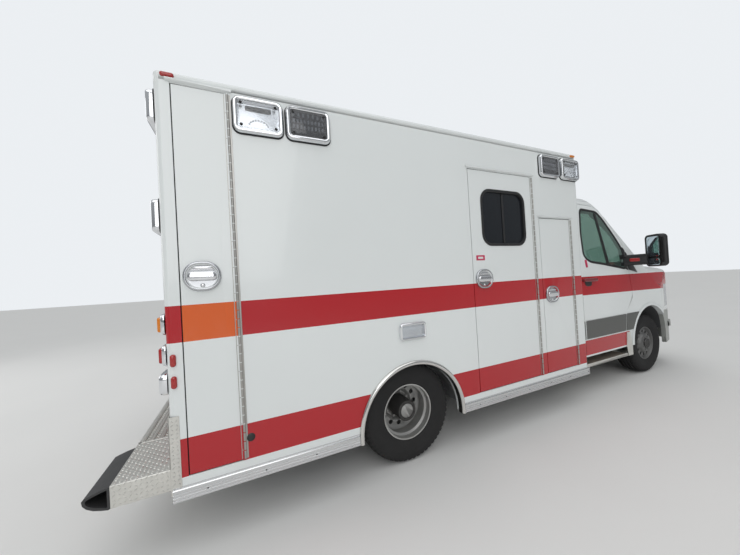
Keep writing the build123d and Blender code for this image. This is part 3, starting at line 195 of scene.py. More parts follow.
world = bpy.data.worlds.new("surround")
bpy.context.scene.world = world
world.use_nodes = True
sky_tree = world.node_tree
sky_tree.nodes.clear()
direction = wire(sky_tree, "ShaderNodeTexCoord").outputs["Generated"]
upward = wire(sky_tree, "ShaderNodeSeparateXYZ", {"Vector": direction}).outputs["Z"]
lift = wire(sky_tree, "ShaderNodeMapRange", {
    "Value": upward, "From Min": -0.05, "From Max": 0.7, "To Min": 0.45, "To Max": 1.0}).outputs[0]
lighting = wire(sky_tree, "ShaderNodeBackground", {
    "Color": (0.93, 0.97, 1.0, 1), "Strength": reckon(sky_tree, "MULTIPLY", lift, SURROUND_LIGHT)})
seen = wire(sky_tree, "ShaderNodeBackground", {
    "Color": (0.90, 0.93, 0.96, 1), "Strength": SURROUND_SEEN})
ray = wire(sky_tree, "ShaderNodeLightPath").outputs
through = reckon(sky_tree, "MAXIMUM", ray["Is Camera Ray"], ray["Is Transmission Ray"])
choice = wire(sky_tree, "ShaderNodeMixShader", {
    0: through, 1: lighting.outputs[0], 2: seen.outputs[0]})
wire(sky_tree, "ShaderNodeOutputWorld", {"Surface": choice.outputs[0]})

# Soft boxes: name, place, target, size in metres, power in watts
LIGHTS = (
    ("beside_camera", (-3.5, -9.0, 4.5), (0.3, 0, 1.1), 6.0, 185.0),
    ("behind_tail", (-9.5, 3.0, 4.0), (-2.9, 0, 1.2), 5.0, 105.0),
)
for name, place, target, size, power in LIGHTS:
    light = bpy.data.lights.new(name, "AREA")
    light.size = size
    light.energy = power
    holder = bpy.data.objects.new(name, light)
    holder.location = place
    holder.rotation_mode = "QUATERNION"
    holder.rotation_quaternion = (Vector(target) - Vector(place)).to_track_quat("-Z", "Y")
    bpy.context.scene.collection.objects.link(holder)

sunshine = bpy.data.lights.new("soft_sun", "SUN")
sunshine.energy = SUN_POWER
sunshine.angle = SUN_SPREAD
sun = bpy.data.objects.new("soft_sun", sunshine)
sun.rotation_mode = "QUATERNION"
sun.rotation_quaternion = SUN_AIM.to_track_quat("-Z", "Y")
bpy.context.scene.collection.objects.link(sun)

# The camera, a wide-angle one held at head height near the tail's right corner, tilted a little.
# yaw is counted from the vehicle's left towards its front.
CAMERA_PLACE = (-2.514, -2.883, 1.402)
CAMERA_YAW = 0.4203
CAMERA_PITCH = 0.0103
CAMERA_ROLL = -0.0577
CAMERA_LENS = 13.795
CAMERA_SENSOR = 36.0
ahead = Vector((
    math.sin(CAMERA_YAW) * math.cos(CAMERA_PITCH),
    math.cos(CAMERA_YAW) * math.cos(CAMERA_PITCH), math.sin(CAMERA_PITCH)))
level_right = Vector((math.cos(CAMERA_YAW), -math.sin(CAMERA_YAW), 0))
level_up = level_right.cross(ahead)
right = math.cos(CAMERA_ROLL) * level_right + math.sin(CAMERA_ROLL) * level_up
up = -math.sin(CAMERA_ROLL) * level_right + math.cos(CAMERA_ROLL) * level_up
camera = bpy.data.objects.new("camera", bpy.data.cameras.new("camera"))
camera.data.sensor_width = CAMERA_SENSOR
camera.data.lens = CAMERA_LENS
camera.data.clip_start = 0.05
camera.matrix_world = Matrix((
    (right.x, up.x, -ahead.x, CAMERA_PLACE[0]),
    (right.y, up.y, -ahead.y, CAMERA_PLACE[1]),
    (right.z, up.z, -ahead.z, CAMERA_PLACE[2]),
    (0, 0, 0, 1)))
bpy.context.scene.collection.objects.link(camera)
bpy.context.scene.camera = camera
bpy.context.scene.view_settings.view_transform = "Standard"

# Painted panels: sheet aluminium on the box body and pressed steel on the cab, in gloss white,
# with two red vinyl stripes laid over them along both sides and round the tail.
AXLE_X = -1.403
WHITE = (0.80, 0.83, 0.825)
RED = (0.46, 0.003, 0.010)
ORANGE = (0.72, 0.115, 0.012)
UPPER_STRIPE = (1.1275, 1.3257)
LOWER_STRIPE = (0.412, 0.615)
BOX_SIDE = 1.067
BOX_REAR = -1.504 + AXLE_X


def stripes(bands, side_from, rear_to=None):
    """Makes the stripes' colour step: each band lies between two heights that may slope with X,
    on faces further out than side_from or further back than rear_to."""
    def paint_on(tree, place, under):
        """The colour beneath, with each band laid over it where all of the band's limits hold."""
        x, y, z = wire(tree, "ShaderNodeSeparateXYZ", {"Vector": place}).outputs
        outside = reckon(tree, "GREATER_THAN", reckon(tree, "ABSOLUTE", y), side_from)
        if rear_to is not None:
            outside = reckon(tree, "MAXIMUM", outside, reckon(tree, "LESS_THAN", x, rear_to))
        result = under
        for low, high, low_slope, high_slope, x_from, x_to, colour in bands:
            low_line = reckon(tree, "MULTIPLY_ADD", x, -low_slope, z)
            high_line = reckon(tree, "MULTIPLY_ADD", x, -high_slope, z)
            mask = outside
            for test, value, limit in (
                ("GREATER_THAN", low_line, low), ("LESS_THAN", high_line, high),
                ("GREATER_THAN", x, x_from), ("LESS_THAN", x, x_to),
            ):
                mask = reckon(tree, "MULTIPLY", mask, reckon(tree, test, value, limit))
            result = blend(tree, mask, result, (*colour, 1))
        return result
    return paint_on


def paint(name, coating):
    """Gloss enamel with a clear coat, faint dust low down and the given stripes."""
    return finish(
        name, WHITE, 0.22, spread=0.025, grain=1.4, bump=0.00002, pitch=160.0, coat=0.35,
        dirt=0.03, extra=coating)


ALL_X = (-9.0, 9.0)
LEVEL = (0, 0)
# faces further out than these are the sides of the box and of the cab, and faces within
# TAIL_SKIN of the box's end are its rear wall
BOX_SIDE_FROM = 1.040
CAB_SIDE_FROM = 0.80
TAIL_SKIN = 0.034
CAB_UPPER = (1.119125, 1.312)
CAB_UPPER_SLOPES = (-0.0180, -0.0080)
CAB_LOWER = (0.447, 0.608)
CAB_LOWER_X = (0.80, 1.745)
box_bands = [(*UPPER_STRIPE, *LEVEL, *ALL_X, RED), (*LOWER_STRIPE, *LEVEL, *ALL_X, RED)]
tail_bands = [(*UPPER_STRIPE, *LEVEL, *ALL_X, ORANGE), (*LOWER_STRIPE, *LEVEL, *ALL_X, RED)]
cab_bands = [
    (*CAB_UPPER, *CAB_UPPER_SLOPES, *ALL_X, RED), (*CAB_LOWER, *LEVEL, *CAB_LOWER_X, RED)]
box_paint = paint("box_enamel", stripes(box_bands, BOX_SIDE_FROM, BOX_REAR + TAIL_SKIN))
tail_door_paint = paint("tail_door_enamel", stripes(tail_bands, BOX_SIDE_FROM))
cab_paint = paint("cab_enamel", stripes(cab_bands, CAB_SIDE_FROM))


def smooth_copy(node, body, material, angle=30.0, name=None):
    """A CAD node's mesh with its loose triangles merged, shaded smooth, standing for the node.
    Large faces lead the shading, so flat panels stay flat beside their rounded edges."""
    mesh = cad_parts[node].data.copy()
    work = bmesh.new()
    work.from_mesh(mesh)
    bmesh.ops.remove_doubles(work, verts=work.verts, dist=0.00002)
    work.to_mesh(mesh)
    work.free()
    made = dressed(name or node + "_skin", mesh, material, body, angle)
    flatter = made.modifiers.new("flat_panels", "WEIGHTED_NORMAL")
    flatter.keep_sharp = True
    flatter.weight = 100
    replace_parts(made, node)
    return made


PAINTED = (
    ("module_roof", "root", box_paint), ("module_wall_right", "root", box_paint),
    ("module_wall_left", "root", box_paint), ("module_wall_rear", "root", box_paint),
    ("module_wall_front", "root", box_paint), ("door_entry", "door_entry", box_paint),
    ("door_right_rear", "door_right_rear", tail_door_paint),
    ("door_right_front", "door_right_front", box_paint),
    ("door_left_rear", "door_left_rear", box_paint),
    ("door_left_front", "door_left_front", box_paint),
    ("back_door_left", "back_door_left", box_paint),
    ("back_door_right", "back_door_right", box_paint),
    ("cab_shell", "root", cab_paint), ("hood", "hood", cab_paint),
    ("cab_door_left", "cab_door_left", cab_paint),
    ("cab_door_right", "cab_door_right", cab_paint),
)
for node, body, material in PAINTED:
    smooth_copy(node, body, material)


# Windows: curved safety glass with a green tint in the cab, near-black privacy glass in the box
# body. The lamps' lenses further down are made of the same kind of glass.
def glazing(name, tint, clear, roughness=0.015):
    """Tinted glass: part of the light passes, the rest meets a dark body under a clean gloss."""
    material, tree, surface = new_material(name)
    place = wire(tree, "ShaderNodeTexCoord").outputs["Object"]
    film = wire(tree, "ShaderNodeTexNoise", {
        "Vector": place, "Scale": 2.5, "Detail": 4.0}).outputs["Fac"]
    tone = blend(tree, film, shade(tint, 0.9), shade(tint, 1.1))
    tree.links.new(tone, surface.inputs["Base Color"])
    smear = wire(tree, "ShaderNodeMapRange", {
        "Value": film, "To Min": roughness, "To Max": roughness * 3})
    tree.links.new(smear.outputs[0], surface.inputs["Roughness"])
    surface.inputs["Transmission Weight"].default_value = clear
    surface.inputs["IOR"].default_value = 1.45
    return material


cab_glass = glazing("green_tint_glass", (0.36, 0.50, 0.44), 0.92)
dark_glass = glazing("dark_tint_glass", (0.020, 0.024, 0.030), 0.35)
lamp_glass = glazing("lamp_glass", (0.93, 0.95, 0.96), 0.95)
headlamp_glass = glazing("headlamp_glass", (0.60, 0.63, 0.66), 0.30)
PANES = (
    ("windscreen", "root", cab_glass, "tinted_glass"),
    ("cab_glass_left", "cab_door_left", cab_glass, "tinted_glass"),
    ("cab_glass_right", "cab_door_right", cab_glass, "tinted_glass"),
    ("entry_glass", "door_entry", dark_glass, "dark_glass"),
    ("back_glass_left", "back_door_left", dark_glass, "dark_glass"),
    ("back_glass_right", "back_door_right", dark_glass, "dark_glass"),
)
for node, body, material, slot in PANES:
    smooth_copy(node, body, material)

# Tyres: radial light-truck rubber, moulded with five ribs, blocks at the shoulders and a ring
# of fine ribs on each sidewall. Each is one surface turned round the wheel's axle.
LUGS = 58
LUG_STEPS = 6
LUG_DEPTH = 0.007
TREAD_FROM = 0.36
SHOULDER_FROM = 0.062
SIDE_RIB_RADIUS = 0.238
SIDE_RIB_HALF = 0.006
SIDE_RIB_RISE = 0.0008
SECTION = (
    (-0.084, 0.2052), (-0.0905, 0.212), (-0.094, 0.228), (-0.1010, 0.255), (-0.1062, 0.285),
    (-0.1072, 0.300), (-0.1050, 0.322), (-0.1000, 0.342), (-0.0945, 0.355), (-0.0890, 0.3635),
    (-0.0800, 0.3690), (-0.0600, 0.3730), (-0.0300, 0.3755), (0.0, 0.3760),
)
TREAD_CUTS = (-0.0560, -0.0190, 0.0190, 0.0560)
CUT_HALF = 0.0042
CUT_DEPTH = 0.0095
LINER = (
    (0.084, 0.2052), (0.080, 0.225), (0.085, 0.300), (0.080, 0.345), (0.0, 0.355), (-0.080, 0.345),
    (-0.085, 0.300), (-0.080, 0.225), (-0.084, 0.2052))
rubber = finish("tyre_rubber", (0.020, 0.020, 0.021), 0.78, spread=0.35, grain=9.0, bump=0.0002,
                pitch=700.0, dirt=0.06, dirt_colour=(0.22, 0.20, 0.17))
rubber.node_tree.nodes["Principled BSDF"].inputs["Specular IOR Level"].default_value = 0.25


def tyre(centre_y):
    """Radius by place across the tread: the section's curve, less a step inside each groove;
    beyond the outer ribs, less a step on every sixth slice of a lug."""
    half = np.array(SECTION)
    section = np.vstack([half, (half * (-1, 1))[::-1][1:]])
    along = np.concatenate([[0], np.cumsum(np.hypot(*np.diff(section, axis=0).T))])
    fine = np.linspace(0, along[-1], 110)
    y = np.interp(fine, along, section[:, 0])
    r = np.interp(fine, along, section[:, 1])
    r = np.convolve(np.pad(r, 2, mode="edge"), np.ones(5) / 5, mode="valid")
    edges = np.array([cut + side * step for cut in TREAD_CUTS
                      for side in (-1, 1) for step in (CUT_HALF, CUT_HALF + 0.0008)])
    far = np.min(np.abs(y[:, None] - np.array(TREAD_CUTS)[None, :]), axis=1) > CUT_HALF + 0.0016
    keep = far | (r < TREAD_FROM)
    top = np.interp(edges, y[r > TREAD_FROM], r[r > TREAD_FROM])
    y_all = np.concatenate([y[keep], edges])
    r_all = np.concatenate([r[keep], top])
    on_tread = np.concatenate([r[keep] > TREAD_FROM, np.ones(len(edges), bool)])
    # the sidewalls double back in y, so their order is kept and only the tread is sorted
    left = ~on_tread & (y_all < 0)
    right_side = ~on_tread & (y_all > 0)
    middle = np.argsort(y_all[on_tread])
    y = np.concatenate([y_all[left], y_all[on_tread][middle], y_all[right_side]])
    r = np.concatenate([r_all[left], r_all[on_tread][middle], r_all[right_side]])
    cut = np.min(np.abs(y[:, None] - np.array(TREAD_CUTS)[None, :]), axis=1) < CUT_HALF + 0.0004
    cut &= r > TREAD_FROM
    r = r - CUT_DEPTH * cut
    steps = LUGS * LUG_STEPS
    turn = np.arange(steps) * (2 * math.pi / steps)
    slice_low = (np.arange(steps) % LUG_STEPS) >= LUG_STEPS - 2
    shoulder = (np.abs(y) > SHOULDER_FROM) & (r > 0.345) & ~cut
    radius = r[:, None] - LUG_DEPTH * shoulder[:, None] * slice_low[None, :]
    on_rib = np.abs(r - SIDE_RIB_RADIUS) < SIDE_RIB_HALF
    ribs = on_rib[:, None] * ((np.arange(steps) // 2) % 2)[None, :]
    across = np.repeat(y[:, None], steps, axis=1)
    across = across + np.sign(across) * SIDE_RIB_RISE * ribs
    points = np.stack([radius * np.cos(turn), across + centre_y, radius * np.sin(turn)], axis=-1)
    # the inside of the carcass, from bead to bead, closes the surface
    liner_y, liner_r = np.array(LINER).T
    liner = np.stack([
        liner_r[:, None] * np.cos(turn), np.repeat(liner_y[:, None] + centre_y, steps, axis=1),
        liner_r[:, None] * np.sin(turn)], axis=-1)
    grid = np.concatenate([points, liner])
    return grid, wrapped_grid(len(grid), steps, close_rows=True)


def moved(part, offset):
    """The same solid somewhere else."""
    return np.asarray(part[0], float).reshape(-1, 3) + np.array(offset, float), part[1]


FRONT_AXLE_X = 3.665 + AXLE_X
AXLE_Z = 0.376
FRONT_TYRE_Y = 0.837
REAR_TYRES_Y = (0.890, 0.645)
for side, sign in (("left", 1), ("right", -1)):
    front = [moved(tyre(sign * FRONT_TYRE_Y), (FRONT_AXLE_X, 0, AXLE_Z))]
    made = piece(
        f"tyre_front_{side}_tread", front, rubber, f"wheel_front_{side}", angle=28)
    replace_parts(made, f"tyre_front_{side}")
    twins = [moved(tyre(sign * y), (AXLE_X, 0, AXLE_Z)) for y in REAR_TYRES_Y]
    made = piece(
        f"tyres_rear_{side}_tread", twins, rubber, f"wheels_rear_{side}", angle=28)
    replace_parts(made, f"tyres_rear_{side}")

# Wheels: pressed steel discs welded in rolled rims, dull silver at the rear, dark at the front,
# each with hand holes, a ring of wheel nuts and a hub cap over the bearing.
rear_steel = finish("wheel_silver", (0.42, 0.42, 0.41), 0.42, metallic=0.55, spread=0.2, grain=14.0,
                    bump=0.0001, pitch=300.0, dirt=0.35, dirt_colour=(0.14, 0.12, 0.10))
front_steel = finish("wheel_dark_silver", (0.17, 0.17, 0.17), 0.45, metallic=0.5, spread=0.25,
                     grain=14.0, bump=0.0001, pitch=300.0, dirt=0.35, dirt_colour=(0.12, 0.11, 0.09))
dark_iron = finish("hub_iron", (0.045, 0.045, 0.047), 0.55, metallic=0.6, spread=0.3, grain=20.0,
                   bump=0.0002, pitch=240.0, dirt=0.2)
for side in ("left", "right"):
    smooth_copy(f"rims_rear_{side}", f"wheels_rear_{side}", rear_steel)
    smooth_copy(f"rim_front_{side}", f"wheel_front_{side}", front_steel)

# Chassis parts under the floor: welded and cast steel in black paint, a grey-brown exhaust and a
# black plastic tank, all under road dust that thickens towards the ground.
chassis_black = finish("chassis_black", (0.030, 0.030, 0.031), 0.6, spread=0.3, grain=8.0,
                       bump=0.0003, pitch=200.0, dirt=0.5, dirt_colour=(0.20, 0.18, 0.15))
exhaust_metal = finish("exhaust_metal", (0.36, 0.31, 0.27), 0.5, metallic=0.8, spread=0.35,
                       grain=7.0, bump=0.0002, pitch=260.0, dirt=0.3)
tank_plastic = finish("tank_plastic", (0.035, 0.035, 0.036), 0.5, spread=0.15, bump=0.0002,
                      pitch=900.0, dirt=0.3)
UNDER = (
    ("frame_rails", "root", chassis_black, "chassis_black"),
    ("rear_axle", "root", chassis_black, "chassis_black"),
    ("front_suspension", "root", chassis_black, "chassis_black"),
    ("drivetrain", "root", dark_iron, "cast_engine"),
    ("knuckle_left", "knuckle_left", dark_iron, "cast_engine"),
    ("knuckle_right", "knuckle_right", dark_iron, "cast_engine"),
    ("fuel_tank", "root", tank_plastic, "dark_plastic"),
    ("exhaust", "root", exhaust_metal, "exhaust_steel"),
)
for node, body, material, slot in UNDER:
    smooth_copy(node, body, material)

# Plastic mouldings of the cab: a grained grey bumper, black grille and mirror cases, a dark
# dashboard with its wheel, and the clear covers of the headlamps.
grey_plastic = finish("bumper_plastic", (0.40, 0.41, 0.39), 0.55, spread=0.06, bump=0.00012,
                      pitch=1400.0, dirt=0.12)
black_plastic = finish("black_plastic", (0.016, 0.016, 0.017), 0.42, spread=0.15, bump=0.00012,
                       pitch=1500.0, dirt=0.05)
trim_plastic = finish("dashboard_plastic", (0.075, 0.077, 0.08), 0.6, spread=0.1, bump=0.0002,
                      pitch=1300.0)
MOULDED = (
    ("front_bumper", "root", grey_plastic, "grey_plastic"),
    ("grille", "root", black_plastic, "dark_plastic"),
    ("mirror_left", "cab_door_left", black_plastic, "dark_plastic"),
    ("mirror_right", "cab_door_right", black_plastic, "dark_plastic"),
    ("cab_interior", "root", trim_plastic, "trim_plastic"),
    ("steering_wheel", "steering_wheel", trim_plastic, "trim_plastic"),
    ("headlamps", "root", headlamp_glass, "lamp_glass"),
)
for node, body, material, slot in MOULDED:
    smooth_copy(node, body, material)

# Sheet parts: mill-finish aluminium in the lockers, flecked vinyl on the floor, pale laminate on
# the cabinets, and rolled tread metal on the running boards, which the tail step shares.
tread_metal = finish("tread_plate_metal", (0.74, 0.73, 0.69), 0.34, metallic=0.8, spread=0.16,
                     grain=11.0, bump=0.0001, pitch=320.0, dirt=0.2)
sheet_metal = finish("mill_sheet", (0.52, 0.53, 0.54), 0.38, metallic=0.85, spread=0.12,
                     grain=7.0, stretch=(1, 1, 6), bump=0.00008, pitch=260.0)
floor_sheet = finish("floor_vinyl", (0.16, 0.18, 0.21), 0.5, spread=0.2, grain=60.0, bump=0.0002,
                     pitch=600.0)
laminate = finish("cabinet_laminate", (0.66, 0.66, 0.63), 0.3, spread=0.04, grain=20.0,
                  bump=0.00005, pitch=500.0)
for node, material, slot in (
    ("compartments", sheet_metal, "compartment_aluminium"),
    ("module_floor", floor_sheet, "floor_sheet"), ("cabinets", laminate, "cabinet_laminate"),
    ("cab_steps", tread_metal, "tread_aluminium"),
):
    smooth_copy(node, "root", material)

# Warning lamps: a chrome-plated bezel screwed over a black gasket, around a clear reflector lens
# or a smoked lens with rows of diodes. The same bezel carries the scene, tail and marker lamps.
chrome = finish("lamp_chrome", (0.80, 0.81, 0.83), 0.07, metallic=1.0, spread=0.04, grain=5.0)
gasket = finish("lamp_gasket", (0.012, 0.012, 0.013), 0.6, spread=0.2, bump=0.0001, pitch=900.0)
smoked = glazing("smoked_lens", (0.46, 0.47, 0.49), 0.88)
diode = finish("diode", (0.80, 0.82, 0.85), 0.2, spread=0.1, grain=300.0, coat=0.5)
reflector = finish("lamp_reflector", (0.74, 0.76, 0.80), 0.16, metallic=0.85, spread=0.22,
                   grain=26.0, stretch=(1, 1, 5), bump=0.0006, pitch=70.0)
dark_back = finish("diode_board", (0.035, 0.035, 0.038), 0.4, spread=0.2, grain=80.0)
red_lens = finish("red_lens", (0.40, 0.012, 0.012), 0.12, spread=0.2, grain=60.0, coat=0.7)
amber_lens = finish("amber_lens", (0.75, 0.22, 0.01), 0.14, spread=0.15, grain=60.0, coat=0.7)


def rounded_loop(length, height, radius, steps=6):
    """Points round a rounded rectangle, a quarter turn of arc at each corner."""
    arc = np.linspace(0, math.pi / 2, steps + 1)
    corners = ((1, 1, 0), (-1, 1, 1), (-1, -1, 2), (1, -1, 3))
    rounds = []
    for side_u, side_v, quarter in corners:
        angle = arc + quarter * math.pi / 2
        rounds.append(np.stack([
            side_u * (length / 2 - radius) + radius * np.cos(angle),
            side_v * (height / 2 - radius) + radius * np.sin(angle)], axis=-1))
    return np.vstack(rounds)


def plated(length, height, radius, rings, steps=6):
    """Rings of a moulding that lies on a wall: each ring is (inset, height off the wall)."""
    loops = []
    for inset, proud in rings:
        flat = rounded_loop(length - 2 * inset, height - 2 * inset, max(radius - inset, 0.001), steps)
        loops.append(np.column_stack([flat, np.full(len(flat), proud)]))
    return np.array(loops)


def on_side(loops, x, z, sign, wall=BOX_SIDE):
    """Flat (u, v, proud) points put on the box's side wall about (x, z)."""
    u, v, proud = np.moveaxis(np.asarray(loops, float), -1, 0)
    return np.stack([x + AXLE_X + u, sign * (wall + proud), z + v], axis=-1)


def on_end(loops, y, z, face, out):
    """Flat (u, v, proud) points put on the box's rear or front wall about (y, z)."""
    u, v, proud = np.moveaxis(np.asarray(loops, float), -1, 0)
    return np.stack([face + out * proud, y + u, z + v], axis=-1)


def ring_solid(loops):
    """A closed ring: the loops run over it from the outer edge to the inner and back beneath."""
    rings = np.asarray(loops, float)
    return rings.reshape(-1, 3), wrapped_grid(len(rings), rings.shape[1], close_rows=True)


def dome(u, v, radius, proud, height, segments=10, rings=4):
    """A low dome of the given radius and height with its foot at proud, as (u, v, proud) loops."""
    rise = np.linspace(0, 0.96, rings) * math.pi / 2
    turn = np.arange(segments) * 2 * math.pi / segments
    foot = [np.stack([u + radius * np.cos(turn), v + radius * np.sin(turn),
                      np.full(segments, proud)], axis=-1)]
    for angle in rise:
        foot.append(np.stack([
            u + radius * math.cos(angle) * np.cos(turn), v + radius * math.cos(angle) * np.sin(turn),
            np.full(segments, proud + height * (0.05 + 0.95 * math.sin(angle)))], axis=-1))
    return np.array(foot)


FRONT_FACE = 2.154 + AXLE_X
bezels, gaskets, clears, smokes, diodes = ([] for _ in range(5))
backs, boards, screws, reds, ambers = ([] for _ in range(5))


def lamp(place, length, height, radius, proud, rim, kind):
    """One lamp on a wall, put there by place: gasket, bezel, back plate and lens."""
    if kind in ("clear", "diode"):
        gaskets.append(loft(place(plated(length + 0.012, height + 0.012, radius + 0.006, (
            (0, 0.0), (0, 0.005), (0.004, 0.006))))))
    # a signal lamp's lens bulges out past its bezel, a warning lamp's lies inside it
    high = proud * (0.55 if kind in ("amber", "red") else 1.0)
    crown = (
        (0, 0.003), (0, high * 0.55), (0.003, high * 0.85), (0.008, high), (rim * 0.6, high * 1.02),
        (rim - 0.004, high * 0.97), (rim, high * 0.9), (rim + 0.002, high * 0.5), (rim + 0.002, 0.003))
    bezels.append(ring_solid(place(plated(length, height, radius, crown))))
    inner_length, inner_height = length - 2 * rim, height - 2 * rim
    corner = max(radius - rim, 0.008)
    pane = plated(inner_length, inner_height, corner, (
        (0.001, proud * 0.55), (0.001, proud * 0.80), (0.005, proud * 0.88), (0.02, proud * 0.92)))
    back = plated(inner_length, inner_height, corner, ((0.001, 0.003), (0.001, 0.006), (0.004, 0.007)))
    if kind in ("amber", "red"):
        bulge = plated(inner_length, inner_height, corner, (
            (0.001, high * 0.4), (0.001, proud * 0.80), (0.004, proud * 0.95), (0.012, proud)))
        (ambers if kind == "amber" else reds).append(loft(place(bulge)))
        return
    (smokes if kind == "diode" else clears).append(loft(place(pane)))
    (boards if kind == "diode" else backs).append(loft(place(back)))
    if kind == "plain":
        return
    for side_u in (-1, 1):
        for side_v in (-1, 1):
            head = dome(side_u * (inner_length / 2 - 0.020), side_v * (inner_height / 2 - 0.018),
                        0.0095, proud * 0.86, 0.006)
            screws.append(loft(place(head)))
    if kind == "diode":
        for row, v in enumerate((0.36, 0.12, -0.10)):
            for u in np.linspace(-0.39, 0.39, 9 - (row == 0) * 2):
                cell = plated(0.013, 0.024, 0.004, ((0, 0.006), (0, 0.011), (0.002, 0.013)), 2)
                cell = cell + np.array([u * inner_length, v * inner_height, 0])
                diodes.append(loft(place(cell)))
    else:
        arch = np.linspace(0.15, 0.85, 9) * math.pi
        for angle in arch:
            cell = plated(0.010, 0.006, 0.002, ((0, 0.006), (0, 0.014), (0.002, 0.015)), 2)
            cell = cell + np.array([
                0.060 * math.cos(angle), -inner_height * 0.42 + 0.050 * math.sin(angle), 0])
            diodes.append(loft(place(cell)))
        band = plated(inner_length * 0.62, inner_height * 0.17, 0.006, (
            (0, 0.006), (0, 0.010), (0.004, 0.012)), 3)
        boards.append(loft(place(band + np.array([0, inner_height * 0.26, 0]))))


# a lamp's length, height, corner radius, height off the wall and width of rim
SIDE_LAMP = (0.283, 0.214, 0.040, 0.034, 0.024)
SCENE_LAMP = (0.227, 0.126, 0.026, 0.026, 0.018)
FRONT_LAMP = (0.230, 0.158, 0.030, 0.034, 0.018)
# side lamps: rear X, what is behind the lens; lamps above the cab: middle Y, the same
SIDE_LAMP_Z = 2.422
SIDE_LAMPS = ((-1.121, "clear"), (-0.820, "diode"), (1.554, "diode"), (1.869, "clear"))
SCENE_LAMP_AT = (0.0205, 1.010)
FRONT_LAMP_Z = 2.451
FRONT_LAMPS = (
    (-0.895, "clear"), (-0.585, "diode"), (0.0, "diode"), (0.585, "diode"), (0.895, "clear"))
# tail lamps: middle Y, middle Z, length, height, kind; they share the last three sizes
TAIL_LAMPS = (
    (0.915, 2.421, 0.250, 0.182, "clear"), (0.915, 1.819, 0.250, 0.182, "diode"),
    (0.965, 1.2275, 0.170, 0.115, "amber"), (0.965, 1.0605, 0.170, 0.115, "red"),
    (0.965, 0.9075, 0.170, 0.115, "plain"))
TAIL_LAMP = (0.030, 0.040, 0.016)
for sign in (-1, 1):
    for rear_x, kind in SIDE_LAMPS:
        lamp(lambda loops, x=rear_x + SIDE_LAMP[0] / 2, s=sign: on_side(loops, x, SIDE_LAMP_Z, s),
             *SIDE_LAMP, kind)
    lamp(lambda loops, s=sign: on_side(loops, *SCENE_LAMP_AT, s), *SCENE_LAMP, "plain")
for sign in (-1, 1):
    for y, z, length, height, kind in TAIL_LAMPS:
        lamp(lambda loops, y=sign * y, z=z: on_end(loops, y, z, BOX_REAR, -1),
             length, height, *TAIL_LAMP, kind)
for y, kind in FRONT_LAMPS:
    lamp(lambda loops, y=y: on_end(loops, y, FRONT_LAMP_Z, FRONT_FACE, 1), *FRONT_LAMP, kind)
MARKER = ((0, 0.0), (0, 0.006), (0.002, 0.010), (0.005, 0.0125), (0.009, 0.014))
MARKER_ROW_Z = 2.578
# side markers: X, Z, length, height
SIDE_MARKERS = (
    (-1.436, MARKER_ROW_Z, 0.066, 0.024), (-1.472, 1.036, 0.028, 0.066),
    (-1.472, 0.920, 0.028, 0.066), (2.096, MARKER_ROW_Z, 0.066, 0.024))
for sign in (-1, 1):
    for x, z, length, height in SIDE_MARKERS:
        loops = plated(length, height, min(length, height) / 2 - 0.0005, MARKER)
        (ambers if x > 0 else reds).append(loft(on_side(loops, x, z, sign)))
for y in (-0.900, -0.150, 0.0, 0.150, 0.900):
    loops = plated(0.066, 0.024, 0.0115, MARKER)
    reds.append(loft(on_end(loops, y, MARKER_ROW_Z, BOX_REAR, -1)))
    ambers.append(loft(on_end(loops, y, MARKER_ROW_Z, FRONT_FACE, 1)))
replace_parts(piece("lamp_bezels_chrome", bezels, chrome, "root"), "lamp_bezels")
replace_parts(piece("lamp_lenses_clear", clears, lamp_glass, "root"), "lamp_lenses")
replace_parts(piece("lamps_red", reds, red_lens, "root"), "red_lamps")
piece("lamps_amber", ambers, amber_lens, "root")
piece("lamp_gaskets", gaskets, gasket, "root")
piece("lamp_lenses_smoked", smokes, smoked, "root")
piece("lamp_reflectors", backs, reflector, "root")
piece("lamp_boards", boards, dark_back, "root")
piece("lamp_diodes", diodes, diode, "root")
piece("lamp_screws", screws, gasket, "root")

# Paddle handles: a chromed oval dish pressed into each door, with a curved pull across it and a
# round key lock below. They cover the plain dishes of the doors' solids.
chrome_pull = finish("handle_chrome", (0.80, 0.80, 0.82), 0.10, metallic=1.0, spread=0.06,
                     grain=9.0)
dish_shadow = finish("handle_dish", (0.50, 0.51, 0.53), 0.18, metallic=1.0, spread=0.10,
                     grain=9.0)
PADDLE = (0.188, 0.166)
HANDLES = (
    ("door_right_rear", -1, -1.316, 1.480), ("door_entry", -1, 0.765, 1.360),
    ("door_right_front", -1, 1.638, 1.167), ("door_left_rear", 1, -1.316, 1.167),
    ("door_left_front", 1, 1.538, 1.167),
)


def paddle(length, height):
    """The dish's rim and floor, the bowed pull across it, its lip and the lock, each as loops."""
    corner = height / 2 - 0.003
    rim = plated(length, height, corner, (
        (0, 0), (0, 0.008), (0.002, 0.014), (0.006, 0.0185), (0.011, 0.0195), (0.016, 0.018),
        (0.019, 0.012), (0.021, 0.006), (0.030, 0.0052)), 10)
    pull = plated(length * 0.76, height * 0.30, height * 0.13, (
        (0, 0.006), (0, 0.017), (0.003, 0.0205), (0.009, 0.0225), (0.016, 0.0228)), 5)
    bow = 0.006 * (1 - (pull[..., 0] / (length * 0.38)) ** 2)
    pull[..., 2] += np.where(pull[..., 2] > 0.01, bow, 0)
    lip = plated(length * 0.60, height * 0.10, height * 0.04, (
        (0, 0.005), (0, 0.011), (0.003, 0.013)), 4) + np.array([0, height * 0.27, 0])
    lock = dome(0, -height * 0.31, 0.012, 0.005, 0.006, 14)
    return rim, pull, lip, lock


for door, sign, x, z in HANDLES:
    rim, *pull = (loft(on_side(part, x, z, sign)) for part in paddle(*PADDLE))
    piece(f"{door}_dish", [rim], dish_shadow, door, 50)
    piece(f"{door}_pull", pull, chrome_pull, door, 50)

